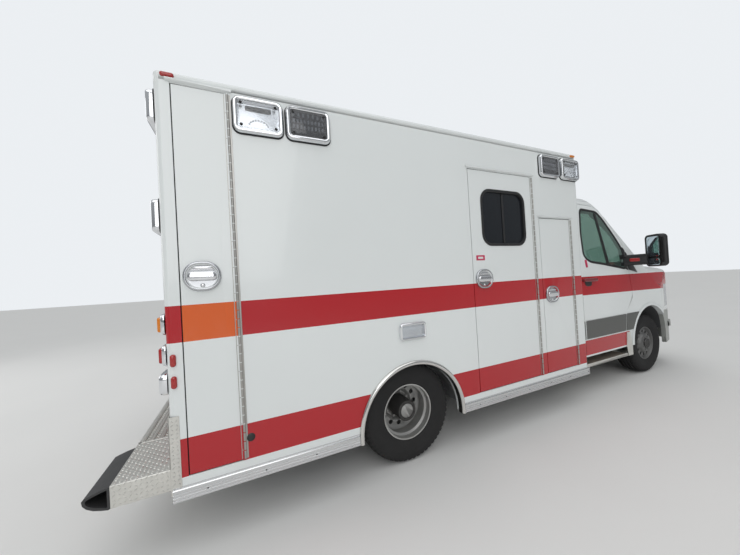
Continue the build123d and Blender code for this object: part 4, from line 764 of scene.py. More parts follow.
# Door hinges: stainless piano hinge the full height of each door, its leaves screwed down
# either side of a rolled barrel whose knuckles alternate between door and wall.
stainless = finish("hinge_stainless", (0.42, 0.41, 0.39), 0.32, metallic=0.9, spread=0.25,
                   grain=22.0, stretch=(1, 1, 0.4), bump=0.0001, pitch=400.0, dirt=0.1)
KNUCKLE = 0.050
BARREL = 0.0074
BARREL_OUT = 0.006
BARREL_SIDES = 12
LEAF = 0.017
# from the barrel's axis: where the door's leaf starts, and both edges of the wall's leaf
DOOR_LEAF_FROM = -0.003
WALL_LEAF = (0.0045, 0.0045 + LEAF * 0.7)


def barrel_and_leaf(z_low, z_high, leaf_from, leaf_to):
    """A barrel along Z whose radius dips between knuckles, and one flat leaf beside it, as
    (u, v, proud) rings with the barrel's axis at u = 0 and BARREL_OUT off the wall."""
    count = int((z_high - z_low) / KNUCKLE)
    edges = np.linspace(z_low, z_high, count + 1)
    heights = np.sort(np.concatenate([
        edges[:-1] + 0.001, edges[:-1] + 0.003, edges[1:] - 0.003, edges[1:] - 0.001]))
    radii = np.tile([BARREL - 0.0016, BARREL, BARREL, BARREL - 0.0016], count)
    turn = np.arange(BARREL_SIDES) * 2 * math.pi / BARREL_SIDES
    barrel = np.stack([
        radii[:, None] * np.cos(turn), np.repeat(heights[:, None], BARREL_SIDES, 1),
        BARREL_OUT + radii[:, None] * np.sin(turn)], axis=-1)
    middle, width = (leaf_from + leaf_to) / 2, abs(leaf_to - leaf_from)
    leaf = plated(width, z_high - z_low, 0.001, ((0, 0.0), (0, 0.0016), (0.0006, 0.0022)), 1)
    leaf = leaf + np.array([middle, (z_low + z_high) / 2, 0])
    return barrel, leaf


# side doors: name, side, X from and to, Z from and to
SIDE_DOORS = (
    ("door_right_rear", -1, -1.427, -1.143, 0.412, 2.540),
    ("door_entry", -1, 0.647, 1.436, 0.412, 2.299),
    ("door_right_front", -1, 1.512, 1.992, 0.412, 1.9115),
    ("door_left_rear", 1, -1.427, -0.843, 0.412, 1.9115),
    ("door_left_front", 1, 1.412, 1.992, 0.412, 1.9115),
)
wall_leaves = []
for door, sign, x0, x1, z0, z1 in SIDE_DOORS:
    axis = x1 - 0.003
    ends = z0 + 0.010, z1 - 0.010
    barrel, door_leaf = barrel_and_leaf(*ends, DOOR_LEAF_FROM - LEAF, DOOR_LEAF_FROM)
    _, wall_leaf = barrel_and_leaf(*ends, *WALL_LEAF)
    shown = [loft(on_side(barrel, axis, 0, sign)), loft(on_side(door_leaf, axis, 0, sign))]
    screw_heads = [
        loft(on_side(dome(-0.012, z, 0.0035, 0.002, 0.0018, 8, 3), axis, 0, sign))
        for z in np.arange(z0 + 0.06, z1 - 0.04, 0.150)]
    piece(f"{door}_hinge", shown + screw_heads, stainless, door)
    wall_leaves.append(loft(on_side(wall_leaf, axis, 0, sign)))
BACK_HINGE_Y = 0.617
BACK_HINGE_Z = (0.790, 2.425)
for side, sign in (("left", 1), ("right", -1)):
    door_side = barrel_and_leaf(*BACK_HINGE_Z, DOOR_LEAF_FROM - LEAF, DOOR_LEAF_FROM)
    _, wall_leaf = barrel_and_leaf(*BACK_HINGE_Z, *WALL_LEAF)
    *shown, wall_leaf = (
        loft(on_end(part * np.array([sign, 1, 1]), sign * BACK_HINGE_Y, 0, BOX_REAR, -1))
        for part in (*door_side, wall_leaf))
    body = f"back_door_{side}"
    piece(f"{body}_hinge", shown, stainless, body)
    wall_leaves.append(wall_leaf)
piece("hinge_wall_leaves", wall_leaves, stainless, "root")

# Door seals: a dark rubber bead in the gap round each side door and one round both back doors,
# its crown a little below the skin.
SEAL = ((0, -0.020), (0, -0.008), (0.003, -0.0065), (0.0062, -0.008), (0.0062, -0.020))
TAIL_OPENING = (1.241, 1.699)
TAIL_OPENING_Z = 1.591
seals = []
for _, sign, x0, x1, z0, z1 in SIDE_DOORS:
    shape = plated(x1 - x0 + 0.001, z1 - z0 + 0.001, 0.004, SEAL, 2)
    seals.append(ring_solid(on_side(shape, (x0 + x1) / 2, (z0 + z1) / 2, sign)))
tail_seal = plated(*TAIL_OPENING, 0.004, SEAL, 2)
seals.append(ring_solid(on_end(tail_seal, 0, TAIL_OPENING_Z, BOX_REAR, -1)))
piece("door_seals", seals, gasket, "root")

# Rub rails and wheel-arch trims: ribbed extruded aluminium screwed along the skirts, and a
# polished stainless roll bent round each rear wheel arch and cut off square at the skirt.
polished = finish("arch_stainless", (0.72, 0.71, 0.69), 0.14, metallic=1.0, spread=0.14, grain=5.0,
                  bump=0.00006, pitch=120.0, dirt=0.08)
rail_metal = finish("rail_aluminium", (0.70, 0.71, 0.72), 0.22, metallic=0.95, spread=0.10,
                    grain=4.0, stretch=(0.3, 3, 8), bump=0.00005, pitch=220.0, dirt=0.1)
ARCH_X = 0.014
ARCH_Z = 0.330
ARCH_INNER = 0.424
ARCH_OUTER = 0.458
SKIRT = 0.296
RAIL_X = ((-1.500, ARCH_X - ARCH_OUTER), (ARCH_X + ARCH_OUTER, 2.150))
RAIL_SCREW_PITCH = 0.300
ROLL = 0.0175
ROLL_BACK = ((-0.0006, -0.030), (0.0016, -0.030), (0.0022, -0.001))
RAIL_SECTION = (
    (0.0002, 0.000), (0.0120, 0.000), (0.0120, 0.009), (0.0085, 0.011), (0.0085, 0.017),
    (0.0115, 0.019), (0.0115, 0.024), (0.0085, 0.026), (0.0085, 0.032), (0.0115, 0.034),
    (0.0115, 0.039), (0.0085, 0.041), (0.0085, 0.047), (0.0120, 0.049), (0.0120, 0.060),
    (0.0095, 0.0645), (0.0040, 0.066), (0.0035, 0.072), (0.0002, 0.072))
rails, rail_screws, trims = [], [], []
for sign in (-1, 1):
    for x0, x1 in RAIL_X:
        out, height = np.array(RAIL_SECTION).T
        rails.append(loft([
            np.column_stack([np.full(len(out), x + AXLE_X), sign * (BOX_SIDE + out), SKIRT + height])
            for x in (x0, x0 + 0.001, x1 - 0.001, x1)]))
        for x in np.arange(x0 + 0.16, x1, RAIL_SCREW_PITCH):
            head = dome(0, 0, 0.0050, 0.0080, 0.003, 10, 3)
            rail_screws.append(loft(on_side(head, x, SKIRT + 0.0295, sign)))
    # the roll's section: (distance outwards from the arch's edge, height off the wall)
    roll_angle = np.linspace(-0.5, math.pi, 14)
    roll = np.column_stack([
        0.017 + ROLL * np.cos(roll_angle), 0.0035 + (ROLL + 0.001) * np.sin(roll_angle)])
    roll = np.vstack([roll, ROLL_BACK])
    sweep = np.linspace(0, math.pi, 61)[:, None]
    radius = ARCH_INNER + roll[None, :, 0]
    across = np.broadcast_to(sign * (BOX_SIDE + roll[:, 1]), (len(sweep), len(roll)))
    curve = np.stack([
        ARCH_X + AXLE_X + radius * np.cos(sweep), across, ARCH_Z + radius * np.sin(sweep)], axis=-1)
    foot_front, foot_rear = curve[0].copy(), curve[-1].copy()
    foot_front[:, 2], foot_rear[:, 2] = SKIRT, SKIRT
    trims.append(loft(np.concatenate([[foot_front], curve, [foot_rear]])))
piece("rub_rails", rails, rail_metal, "root", 20)
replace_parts(piece("arch_trims", trims, polished, "root", 50), "side_trim")
piece("rail_screws", rail_screws, dark_iron, "root")

# The tail step: folded tread-plate wings with raised lozenges, and a centre grid of punched
# and dimpled aluminium that swings up against the doors.
STEP_TOP = 0.470
STEP_REAR = -1.757
STEP_HALF = 0.660
STEP_FOOT = 0.360
CORNER_TOP = 0.741
CORNER_SHEET = 0.0025
LOZENGE = (0.0115, 0.0040, 0.0022)
LOZENGE_PITCH = 0.022


def lozenges(u0, u1, v0, v1, pitch=LOZENGE_PITCH):
    """Raised bars of the tread pattern over a flat area: pairs set crosswise on a chequered
    lattice, each a low pointed hull of seven faces, as points (u, v, proud) and faces."""
    cu, cv = np.meshgrid(np.arange(u0 + pitch / 2, u1, pitch), np.arange(v0 + pitch / 2, v1, pitch))
    row, column = np.indices(cu.shape)
    lean = np.where((row + column) % 2 == 0, 1, -1).ravel() * math.pi / 4
    length, width, rise = LOZENGE
    local = np.array([
        (-length, 0, -0.0004), (0, -width, -0.0004), (length, 0, -0.0004), (0, width, -0.0004),
        (-length * 0.45, 0, rise), (length * 0.45, 0, rise)])
    cosine, sine = np.cos(lean)[:, None], np.sin(lean)[:, None]
    u = cu.ravel()[:, None] + cosine * local[:, 0] - sine * local[:, 1]
    v = cv.ravel()[:, None] + sine * local[:, 0] + cosine * local[:, 1]
    points = np.stack([u, v, np.broadcast_to(local[:, 2], u.shape)], axis=-1)
    hull = ((0, 1, 4), (1, 5, 4), (1, 2, 5), (2, 3, 5), (3, 4, 5), (3, 0, 4), (0, 3, 2, 1))
    every = [[index + 6 * k for index in face] for k in range(len(points)) for face in hull]
    return points.reshape(-1, 3), every


def plate_block(x0, x1, y0, y1, z0, z1, edge=0.002):
    """A block with softened edges: rounded-rectangle rings from its bottom to its top."""
    rings = plated(x1 - x0, y1 - y0, edge * 1.5, (
        (edge, z0), (0, z0 + edge), (0, z1 - edge), (edge, z1)), 2)
    return loft(rings + np.array([(x0 + x1) / 2, (y0 + y1) / 2, 0]))


wings, wing_pattern = [], []
for sign in (-1, 1):
    low_y, high_y = sorted((sign * STEP_HALF, sign * BOX_SIDE))
    x0, x1 = STEP_REAR + AXLE_X, BOX_REAR
    wings.append(plate_block(x0, x1, low_y, high_y, STEP_TOP - 0.004, STEP_TOP))
    folded = STEP_FOOT, STEP_TOP - 0.003
    wings.append(plate_block(x0, x0 + 0.004, low_y, high_y, *folded))
    wings.append(plate_block(x1 - 0.0045, x1 - 0.0005, low_y, high_y, *folded))
    for y in (sign * (BOX_SIDE - 0.002), sign * (STEP_HALF + 0.002)):
        wings.append(plate_block(x0, x1, y - 0.002, y + 0.002, *folded))
    corner = sorted((sign * (BOX_SIDE - 0.070), sign * (BOX_SIDE + CORNER_SHEET)))
    wings.append(plate_block(x1 - 0.004, x1 - 0.0002, *corner, STEP_TOP - 0.002, CORNER_TOP))
    side_strip = sorted((sign * (BOX_SIDE + 0.0003), sign * (BOX_SIDE + CORNER_SHEET)))
    wings.append(plate_block(x1 - 0.004, x1 + 0.046, *side_strip, 0.329, CORNER_TOP, 0.0009))
    top, top_faces = lozenges(x0 + 0.004, x1 - 0.004, low_y + 0.004, high_y - 0.004)
    wing_pattern.append((top + np.array([0, 0, STEP_TOP]), top_faces))
    for wall, area in (
        (BOX_SIDE, (x0 + 0.004, x1 - 0.004, STEP_FOOT + 0.004, STEP_TOP - 0.004)),
        (BOX_SIDE + CORNER_SHEET, (x1 + 0.001, x1 + 0.043, 0.333, CORNER_TOP - 0.003)),
    ):
        bars, faces = lozenges(*area)
        upright = np.column_stack([bars[:, 0], sign * (wall + bars[:, 2]), bars[:, 1]])
        wing_pattern.append((upright, faces))
    lug_y = sorted((sign * STEP_HALF, sign * (STEP_HALF + 0.008)))
    wings.append(plate_block(x1 - 0.026, x1 - 0.010, *lug_y, STEP_TOP - 0.004, STEP_TOP + 0.016))
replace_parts(piece("step_wings_plate", wings, tread_metal, "root"), "step_wings")
piece("step_tread_bars", wing_pattern, tread_metal, "root", 15)

GRID_DEPTH = 0.036
GRID_ROWS = 4
GRID_FRAME = 0.018
SLAT = 0.0052
SLAT_DEPTH = 0.012
HOLE_RADIUS = 0.0088
HINGE_ROD = 0.0072
HINGE_ROD_Z = 0.478
HINGE_ROD_HALF = 0.652
HOLE_SIDES = 8
HOLE_PITCH = 0.031
PUNCH_DEPTH = 0.0110


def punched_strip(x0, x1, y0, y1, radius, z):
    """A strip one hole wide: cells along Y, each an octagonal hole ringed by faces."""
    count = int(round((y1 - y0) / HOLE_PITCH))
    pitch = (y1 - y0) / count
    turn = (np.arange(HOLE_SIDES) + 0.5) * 2 * math.pi / HOLE_SIDES
    hole = np.column_stack([radius * np.cos(turn), radius * np.sin(turn)])
    reach = 1 / np.maximum(np.abs(np.cos(turn)), np.abs(np.sin(turn)))
    square = np.column_stack([
        reach * np.cos(turn) * (x1 - x0) / 2, reach * np.sin(turn) * pitch / 2])
    centres = np.column_stack([
        np.full(count, (x0 + x1) / 2), y0 + pitch * (np.arange(count) + 0.5)])
    rings = []
    for flat, level in (
        (square, z), (hole * 1.12, z + 0.0008), (hole, z - 0.0004), (hole, z - PUNCH_DEPTH),
        (square, z - PUNCH_DEPTH),
    ):
        rings.append(np.concatenate([
            centres[:, None, :] + flat[None], np.full((count, HOLE_SIDES, 1), level)], axis=-1))
    points = np.stack(rings, axis=1)
    one = np.array(wrapped_grid(5, HOLE_SIDES))
    faces = (one[None] + (np.arange(count) * 5 * HOLE_SIDES)[:, None, None]).reshape(-1, 4)
    return points.reshape(-1, 3), faces.tolist()


grid_parts = []
x0, x1 = STEP_REAR + AXLE_X, -1.528 + AXLE_X
half = STEP_HALF - 0.007
for low, high in ((x0, x0 + GRID_FRAME), (x1 - 0.016, x1)):
    grid_parts.append(plate_block(low, high, -half, half, STEP_TOP - GRID_DEPTH, STEP_TOP))
for y in (-half + 0.008, half - 0.008):
    grid_parts.append(plate_block(x0, x1, y - 0.008, y + 0.008, STEP_TOP - GRID_DEPTH, STEP_TOP))
row_pitch = (x1 - x0 - 0.034) / GRID_ROWS
for row in range(GRID_ROWS):
    start = x0 + GRID_FRAME + row * row_pitch
    end = start + row_pitch
    grid_parts.append(punched_strip(
        start + 0.016, end - 0.012, -half + 0.016, half - 0.016, HOLE_RADIUS, STEP_TOP - 0.001))
    for x in (start, start + 0.0075, end - 0.0125, end - 0.0055):
        grid_parts.append(plate_block(
            x, x + SLAT, -half + 0.012, half - 0.012, STEP_TOP - SLAT_DEPTH, STEP_TOP + 0.0006,
            0.0008))
barrel_turn = np.arange(16) * math.pi / 8
hinge_x = -1.522 + AXLE_X
rod = np.array([
    np.column_stack([
        hinge_x + HINGE_ROD * np.cos(barrel_turn), np.full(16, y),
        HINGE_ROD_Z + HINGE_ROD * np.sin(barrel_turn)])
    for y in (-HINGE_ROD_HALF, HINGE_ROD_HALF)])
grid_parts.append(loft(rod))
made = piece("step_grid_punched", grid_parts, tread_metal, "step_grid", 20)
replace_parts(made, "step_grid")

# Dock bumpers: hollow extrusions of black rubber bolted to the step's rear edge. Each is a blunt
# wedge in section and open at both ends.
black_rubber = finish("moulded_rubber", (0.030, 0.031, 0.034), 0.55, spread=0.2, grain=12.0,
                      bump=0.0002, pitch=700.0, dirt=0.1)
BLOCK_OUTER = (
    (-1.7572, 0.467), (-1.800, 0.4575), (-1.834, 0.447), (-1.856, 0.4395), (-1.863, 0.430),
    (-1.860, 0.409), (-1.846, 0.391), (-1.822, 0.375), (-1.790, 0.364), (-1.765, 0.358),
    (-1.7572, 0.362))
BLOCK_INNER = (
    (-1.768, 0.455), (-1.800, 0.447), (-1.828, 0.438), (-1.844, 0.432), (-1.850, 0.425),
    (-1.847, 0.411), (-1.836, 0.399), (-1.816, 0.387), (-1.790, 0.377), (-1.772, 0.370),
    (-1.768, 0.374))
BLOCK_START = 0.690
blocks = []
for sign in (-1, 1):
    outer, inner = (np.array(points) + (AXLE_X, 0) for points in (BLOCK_OUTER, BLOCK_INNER))
    near, far = BLOCK_START, BOX_SIDE - 0.001
    rings = []
    for section, stations in (
        (outer, (near, near + 0.003, far - 0.003, far)),
        (inner, (far, far - 0.004, near + 0.004, near)),
    ):
        for y in stations:
            rings.append(np.column_stack([
                section[:, 0], np.full(len(section), sign * y), section[:, 1]]))
    blocks.append(ring_solid(rings))
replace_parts(piece("dock_bumpers", blocks, black_rubber, "root", 25), "bumper_blocks")

# The cab's roof: a pressed panel, domed along and across, welded on between the windscreen's
# header and the box body's front wall.
def slab(top, bottom):
    """A closed solid between two open grids of points, joined round the rim."""
    rows, columns = top.shape[:2]
    count = rows * columns
    faces = open_grid(rows, columns)
    faces += [[index + count for index in face] for face in open_grid(rows, columns)]
    index = np.arange(count).reshape(rows, columns)
    rim = np.concatenate([index[0, :-1], index[:-1, -1], index[-1, :0:-1], index[:0:-1, 0]])
    after = np.roll(rim, -1)
    faces += np.stack([rim, after, after + count, rim + count], axis=-1).tolist()
    return np.concatenate([top.reshape(-1, 3), bottom.reshape(-1, 3)]), faces


ROOF_Z = 2.2703
ROOF_RISE = 0.046
ROOF_X = (2.1545, 2.400, 2.757)
ROOF_HALF = 0.742
ROOF_SHEET = 0.0043
roof_x, roof_y = np.meshgrid(
    np.linspace(ROOF_X[0], ROOF_X[2], 31), np.linspace(-ROOF_HALF, ROOF_HALF, 61), indexing="ij")
fall = np.clip((roof_x - ROOF_X[1]) / (ROOF_X[2] - ROOF_X[1]), 0, 1)
crown = ROOF_Z + ROOF_RISE * (1 - fall ** 2) * (1 - (np.abs(roof_y) / ROOF_HALF) ** 4)
roof_top = np.stack([roof_x + AXLE_X, roof_y, crown], axis=-1)
roof_under = np.stack([
    roof_x + AXLE_X, roof_y, np.full_like(crown, ROOF_Z - ROOF_SHEET)], axis=-1)
piece("cab_roof_panel", [slab(roof_top, roof_under)], cab_paint, "root", 40)

# Cab windows: each pane sits in a black rubber surround, with a slanting bar that parts the
# quarter light from the drop glass, and a black corner plate that carries the mirror.
CAB_SIDES = (("right", -1), ("left", 1))
CAB_SIDE_Z = (0.2, 1.08, 1.42, 2.10, 2.255)
CAB_SIDE_Y = (0.9965, 0.9965, 0.968, 0.884, 0.815)


def on_cab(loops, sign, x=0.0, z=0.0):
    """Flat (u, v, proud) points laid on the cab's leaning side about (x, z)."""
    u, v, proud = np.moveaxis(np.asarray(loops, float), -1, 0)
    y = np.interp(z + v, CAB_SIDE_Z, CAB_SIDE_Y) + proud
    return np.stack([x + u + AXLE_X, sign * y, z + v], axis=-1)


def rounded_path(points, radius, steps=6):
    """A closed outline with each corner turned into a quadratic curve, its handles reaching the
    radius back along both edges."""
    corners = np.asarray(points, float)
    back, ahead_of = np.roll(corners, 1, 0) - corners, np.roll(corners, -1, 0) - corners
    back_length = np.linalg.norm(back, axis=1)[:, None]
    ahead_length = np.linalg.norm(ahead_of, axis=1)[:, None]
    first = corners + back / back_length * np.minimum(radius, back_length * 0.45)
    last = corners + ahead_of / ahead_length * np.minimum(radius, ahead_length * 0.45)
    t = np.linspace(0, 1, steps)[None, :, None]
    curve = (
        (1 - t) ** 2 * first[:, None] + 2 * t * (1 - t) * corners[:, None] + t ** 2 * last[:, None])
    return curve.reshape(-1, 2)


def grown(outline, distance):
    """A closed flat outline moved outwards along its own normals."""
    run = np.roll(outline, -1, 0) - np.roll(outline, 1, 0)
    normal = np.column_stack([run[:, 1], -run[:, 0]]) / np.linalg.norm(run, axis=1)[:, None]
    x, y = outline.T
    turn = np.sign(np.sum(x * np.roll(y, -1) - np.roll(x, -1) * y))
    return outline + turn * distance * normal


def bordered(outline, rings):
    """Loops over one outline, each ring given as (distance outwards, height)."""
    return np.array([
        np.column_stack([grown(outline, out), np.full(len(outline), proud)]) for out, proud in rings])


CAB_WINDOW = (
    (2.500, 2.088), (2.428, 1.800), (2.400, 1.540), (2.490, 1.474), (2.705, 1.447),
    (3.067, 1.391), (3.205, 1.368), (3.205, 1.610), (3.106, 1.752), (2.916, 1.981),
    (2.813, 2.067))
SURROUND = (
    (0.016, -0.001), (0.016, 0.002), (0.010, 0.004), (-0.004, 0.004), (-0.010, 0.002),
    (-0.012, -0.001))
SHEET = ((0, -0.001), (0, 0.003), (-0.002, 0.004))
QUARTER_BAR = ((2.752, 2.055), (2.797, 2.045), (2.872, 1.419), (2.812, 1.428))
DOOR_CORNER = ((3.196, 1.362), (3.255, 1.345), (3.255, 1.600), (3.215, 1.640))
WING_CORNER = ((3.266, 1.350), (3.460, 1.309), (3.360, 1.430), (3.266, 1.580))
window_line = rounded_path(CAB_WINDOW, 0.05)
for side, sign in CAB_SIDES:
    body = f"cab_door_{side}"
    surround = ring_solid(on_cab(bordered(window_line, SURROUND), sign))
    bar, door_corner, wing_corner = (
        loft(on_cab(bordered(rounded_path(outline, radius, steps), SHEET), sign))
        for outline, radius, steps in (
            (QUARTER_BAR, 0.004, 3), (DOOR_CORNER, 0.012, 6), (WING_CORNER, 0.012, 6)))
    piece(f"{body}_surround", [surround, bar], gasket, body)
    piece(f"{body}_corner", [door_corner], black_plastic, body)
    piece(f"wing_corner_{side}", [wing_corner], black_plastic, "root")

# Lower mouldings: dark grey cladding along the cab's flanks in three lengths parted at the door,
# and a black dished plate behind each door's pull, which is painted shade in the recess under the
# grip.
cladding_grey = finish("cladding_plastic", (0.115, 0.118, 0.112), 0.55, spread=0.10, grain=9.0,
                       bump=0.00015, pitch=1200.0, dirt=0.2, dirt_colour=(0.22, 0.21, 0.19))
CLADDING = ((0, 0.0006), (0, 0.0065), (-0.003, 0.0090), (-0.007, 0.0095))
DOOR_CLADDING = ((2.2715, 0.6215), (3.0585, 0.6215), (3.0925, 0.8225), (2.2715, 0.8225))
REAR_CLADDING = ((2.157, 0.6215), (2.259, 0.6215), (2.259, 0.8225), (2.157, 0.8225))
WING_CLADDING = (
    (3.072, 0.6215), (3.226, 0.6215), (3.300, 0.735), (3.384, 0.8225), (3.106, 0.8225))
PULL_GRIP = ((0, 0.003), (0, 0.030), (0.003, 0.0335), (0.009, 0.0345))
pull_red = finish("pull_red", (0.20, 0.012, 0.018), 0.3, spread=0.1, grain=30.0, coat=0.4)
PULL_SHADE_PLATE = ((0, -0.001), (0, 0.0015), (0.003, 0.0026), (0.008, 0.0028))
for side, sign in CAB_SIDES:
    door = f"cab_door_{side}"
    for name, outline, body in (
        (f"{door}_cladding", DOOR_CLADDING, door), (f"rear_cladding_{side}", REAR_CLADDING, "root"),
        (f"wing_cladding_{side}", WING_CLADDING, "root"),
    ):
        sheet = loft(on_cab(bordered(rounded_path(outline, 0.012, 4), CLADDING), sign))
        piece(name, [sheet], cladding_grey, body, 40)
    # the black plate is painted shade: it darkens the recess below the grip
    plate = loft(on_cab(plated(0.130, 0.086, 0.040, PULL_SHADE_PLATE), sign, 2.400, 1.240))
    grip = loft(on_cab(plated(0.246, 0.034, 0.014, PULL_GRIP), sign, 2.410, 1.2655))
    piece(f"{door}_dish", [plate], black_plastic, door, 50)
    piece(f"{door}_pull", [grip], pull_red, door, 50)

# Mirrors: each case holds a large flat glass over a small wide-angle one, in black rims. A
# moulded web joins the case's two arms and carries a red marker on its rear face.
silvered = finish("mirror_glass", (0.74, 0.84, 0.92), 0.02, metallic=1.0, spread=0.03, grain=3.0)
MIRROR_PANES = ((0.166, 0.235, 1.607), (0.166, 0.085, 1.430))
# the middle of the case's rear face, and the way it faces as sine and cosine from straight back
MIRROR_AT = (3.233, 1.230)
MIRROR_FACES = (0.486, 0.874)
ARM_WEB_Z = (1.430, 1.502)
ARM_MARKER_AT = (3.1715, 1.080, 1.466)
ARM_FACES = (0.3965, 0.918)
ARM_WEB = ((3.1285, 0.985), (3.196, 0.985), (3.284, 1.178), (3.2125, 1.178))
ARM_MARKER = ((0, -0.003), (0, 0.004), (0.003, 0.0070), (0.008, 0.0080))
MIRROR_RIM = (
    (-0.005, -0.001), (-0.005, 0.0045), (-0.001, 0.0060), (0.003, 0.0040), (0.003, -0.001))
MIRROR_GLASS = ((0.001, -0.001), (0.001, 0.0014), (0.004, 0.0022), (0.020, 0.0026))


def on_mirror(loops, z, sign):
    """Flat (u, v, proud) points put on a mirror's rear face, u running outwards along it."""
    u, v, proud = np.moveaxis(np.asarray(loops, float), -1, 0)
    sine, cosine = MIRROR_FACES
    x = MIRROR_AT[0] - sine * u - cosine * proud + AXLE_X
    return np.stack([x, sign * (MIRROR_AT[1] + cosine * u - sine * proud), z + v], axis=-1)


for side, sign in CAB_SIDES:
    door = f"cab_door_{side}"
    rims, panes = (
        [solid(on_mirror(plated(length, height, 0.026, rings), z, sign))
         for length, height, z in MIRROR_PANES]
        for solid, rings in ((ring_solid, MIRROR_RIM), (loft, MIRROR_GLASS)))
    piece(f"mirror_rims_{side}", rims, black_plastic, door)
    piece(f"mirror_panes_{side}", panes, silvered, door)
    web = rounded_path(ARM_WEB, 0.008, 4)
    levels = [
        np.column_stack([web[:, 0] + AXLE_X, sign * web[:, 1], np.full(len(web), z)])
        for z in ARM_WEB_Z]
    piece(f"mirror_web_{side}", [loft(levels)], black_plastic, door, 40)
    u, v, proud = np.moveaxis(plated(0.090, 0.040, 0.012, ARM_MARKER), -1, 0)
    sine, cosine = ARM_FACES
    marker = np.stack([
        ARM_MARKER_AT[0] + sine * u - cosine * proud + AXLE_X,
        sign * (ARM_MARKER_AT[1] + cosine * u + sine * proud), ARM_MARKER_AT[2] + v], axis=-1)
    piece(f"mirror_marker_{side}", [loft(marker)], red_lens, door)

# The nose: two wipers parked along the foot of the windscreen, each an arm and a blade from one
# hub, and round fog lamps let into the bumper's corners.
SCREEN_RADIUS = 1.880
SCREEN_FOOT = (3.905, 1.385)
SCREEN_LEAN = 945 / 827
# each wiper: Y of its hub, Y of its tip; then the arm's and the blade's heights at both ends
WIPERS = ((0.560, -0.020), (-0.060, -0.640))
WIPER_ARM_Z = (1.412, 1.452)
WIPER_BLADE_Z = (1.440, 1.462)
FOG_TURN = math.radians(35)
FOG_AT = (4.300, 0.905, 0.560)
FOG_RING = ((0.052, -0.004), (0.052, 0.004), (0.047, 0.007), (0.043, 0.003), (0.043, -0.004))
FOG_SIDES = 24


def tube(path, radius, sides=8):
    """A round bar along a path: a ring at each point, square to the path's own direction."""
    line = np.asarray(path, float)
    run = np.gradient(line, axis=0)
    run = run / np.linalg.norm(run, axis=1)[:, None]
    beside = np.cross(run, (0, 0, 1.0))
    beside = beside / np.linalg.norm(beside, axis=1)[:, None]
    over = np.cross(beside, run)
    turn = np.arange(sides) * 2 * math.pi / sides
    cosine, sine = np.cos(turn)[None, :, None], np.sin(turn)[None, :, None]
    return loft(line[:, None, :] + radius * (beside[:, None, :] * cosine + over[:, None, :] * sine))


def on_screen(y, z, lifted):
    """Points that stand off the curved windscreen by a distance along X."""
    bow = SCREEN_RADIUS - np.sqrt(SCREEN_RADIUS ** 2 - y ** 2)
    x = SCREEN_FOOT[0] - (z - SCREEN_FOOT[1]) * SCREEN_LEAN - bow + lifted
    return np.stack([x + AXLE_X, y, z], axis=-1)


wipers = []
for pivot_y, tip_y in WIPERS:
    y = np.linspace(pivot_y, (pivot_y + tip_y) / 2, 9)
    wipers.append(tube(on_screen(y, np.linspace(*WIPER_ARM_Z, 9), 0.020), 0.005))
    y = np.linspace(pivot_y - 0.020, tip_y, 17)
    wipers.append(tube(on_screen(y, np.linspace(*WIPER_BLADE_Z, 17), 0.010), 0.0045))
    hub = dome(0, 0, 0.016, -0.010, 0.022, 14)
    foot = on_screen(np.array(pivot_y), np.array(WIPER_ARM_Z[0]), 0.020)
    wipers.append(loft(hub[..., [2, 0, 1]] + foot))
piece("wipers", wipers, black_plastic, "root", 50)

fog_angle = np.arange(FOG_SIDES) * 2 * math.pi / FOG_SIDES
fog_ring = np.array([
    np.column_stack([
        radius * np.cos(fog_angle), radius * np.sin(fog_angle), np.full(FOG_SIDES, proud)])
    for radius, proud in FOG_RING])
fog_lens = dome(0, 0, 0.043, -0.002, 0.007, FOG_SIDES, 5)
fog_rings, fog_glass = [], []
for sign in (-1, 1):
    for loops, kept, solid in ((fog_ring, fog_rings, ring_solid), (fog_lens, fog_glass, loft)):
        u, v, proud = np.moveaxis(loops, -1, 0)
        x = FOG_AT[0] + proud * math.cos(FOG_TURN) - u * math.sin(FOG_TURN)
        y = FOG_AT[1] + proud * math.sin(FOG_TURN) + u * math.cos(FOG_TURN)
        kept.append(solid(np.stack([x + AXLE_X, sign * y, FOG_AT[2] + v], axis=-1)))
piece("fog_lamp_rings", fog_rings, black_plastic, "root")
piece("fog_lamp_lenses", fog_glass, reflector, "root")

# Cab steps: a ribbed tread pad along the top of each running board, worn brown-grey by boots.
# Its nine ribs run lengthwise, a little short of the pad's ends.
worn_tread = finish("worn_tread", (0.145, 0.115, 0.095), 0.7, spread=0.35, grain=16.0, bump=0.0004,
                    pitch=300.0, dirt=0.3)
PAD_Y = (0.838, 0.982)
PAD_Z = (0.3445, 0.3465)
RIB_Z = (0.346, 0.3485)
pads = []
for _, sign in CAB_SIDES:
    x0, x1 = 2.180 + AXLE_X, 3.050 + AXLE_X
    low_y, high_y = sorted(sign * y for y in PAD_Y)
    pads.append(plate_block(x0, x1, low_y, high_y, *PAD_Z, 0.0008))
    for y in np.linspace(low_y + 0.012, high_y - 0.012, 9):
        pads.append(plate_block(x0 + 0.010, x1 - 0.010, y - 0.0035, y + 0.0035, *RIB_Z, 0.0008))
piece("step_pads", pads, worn_tread, "root", 20)

# Wheel fittings: a ring of nuts on every disc, a dark hub sleeve with its bolted end at the rear,
# a capped hub in front, and a bright rolled lip round each outer rim.
lip_metal = finish("rim_lip", (0.60, 0.60, 0.58), 0.30, metallic=0.9, spread=0.2, grain=12.0,
                   bump=0.0001, pitch=300.0, dirt=0.25, dirt_colour=(0.16, 0.14, 0.12))


NUTS = 8


def turned(profile, x, sign, sides=48):
    """A closed (distance out, radius) profile turned about the axle at x."""
    out, radius = np.array(profile, float).T
    turn = np.arange(sides) * 2 * math.pi / sides
    points = np.stack([
        x + radius[:, None] * np.cos(turn), np.repeat(sign * out[:, None], sides, axis=1),
        AXLE_Z + radius[:, None] * np.sin(turn)], axis=-1)
    return ring_solid(points)


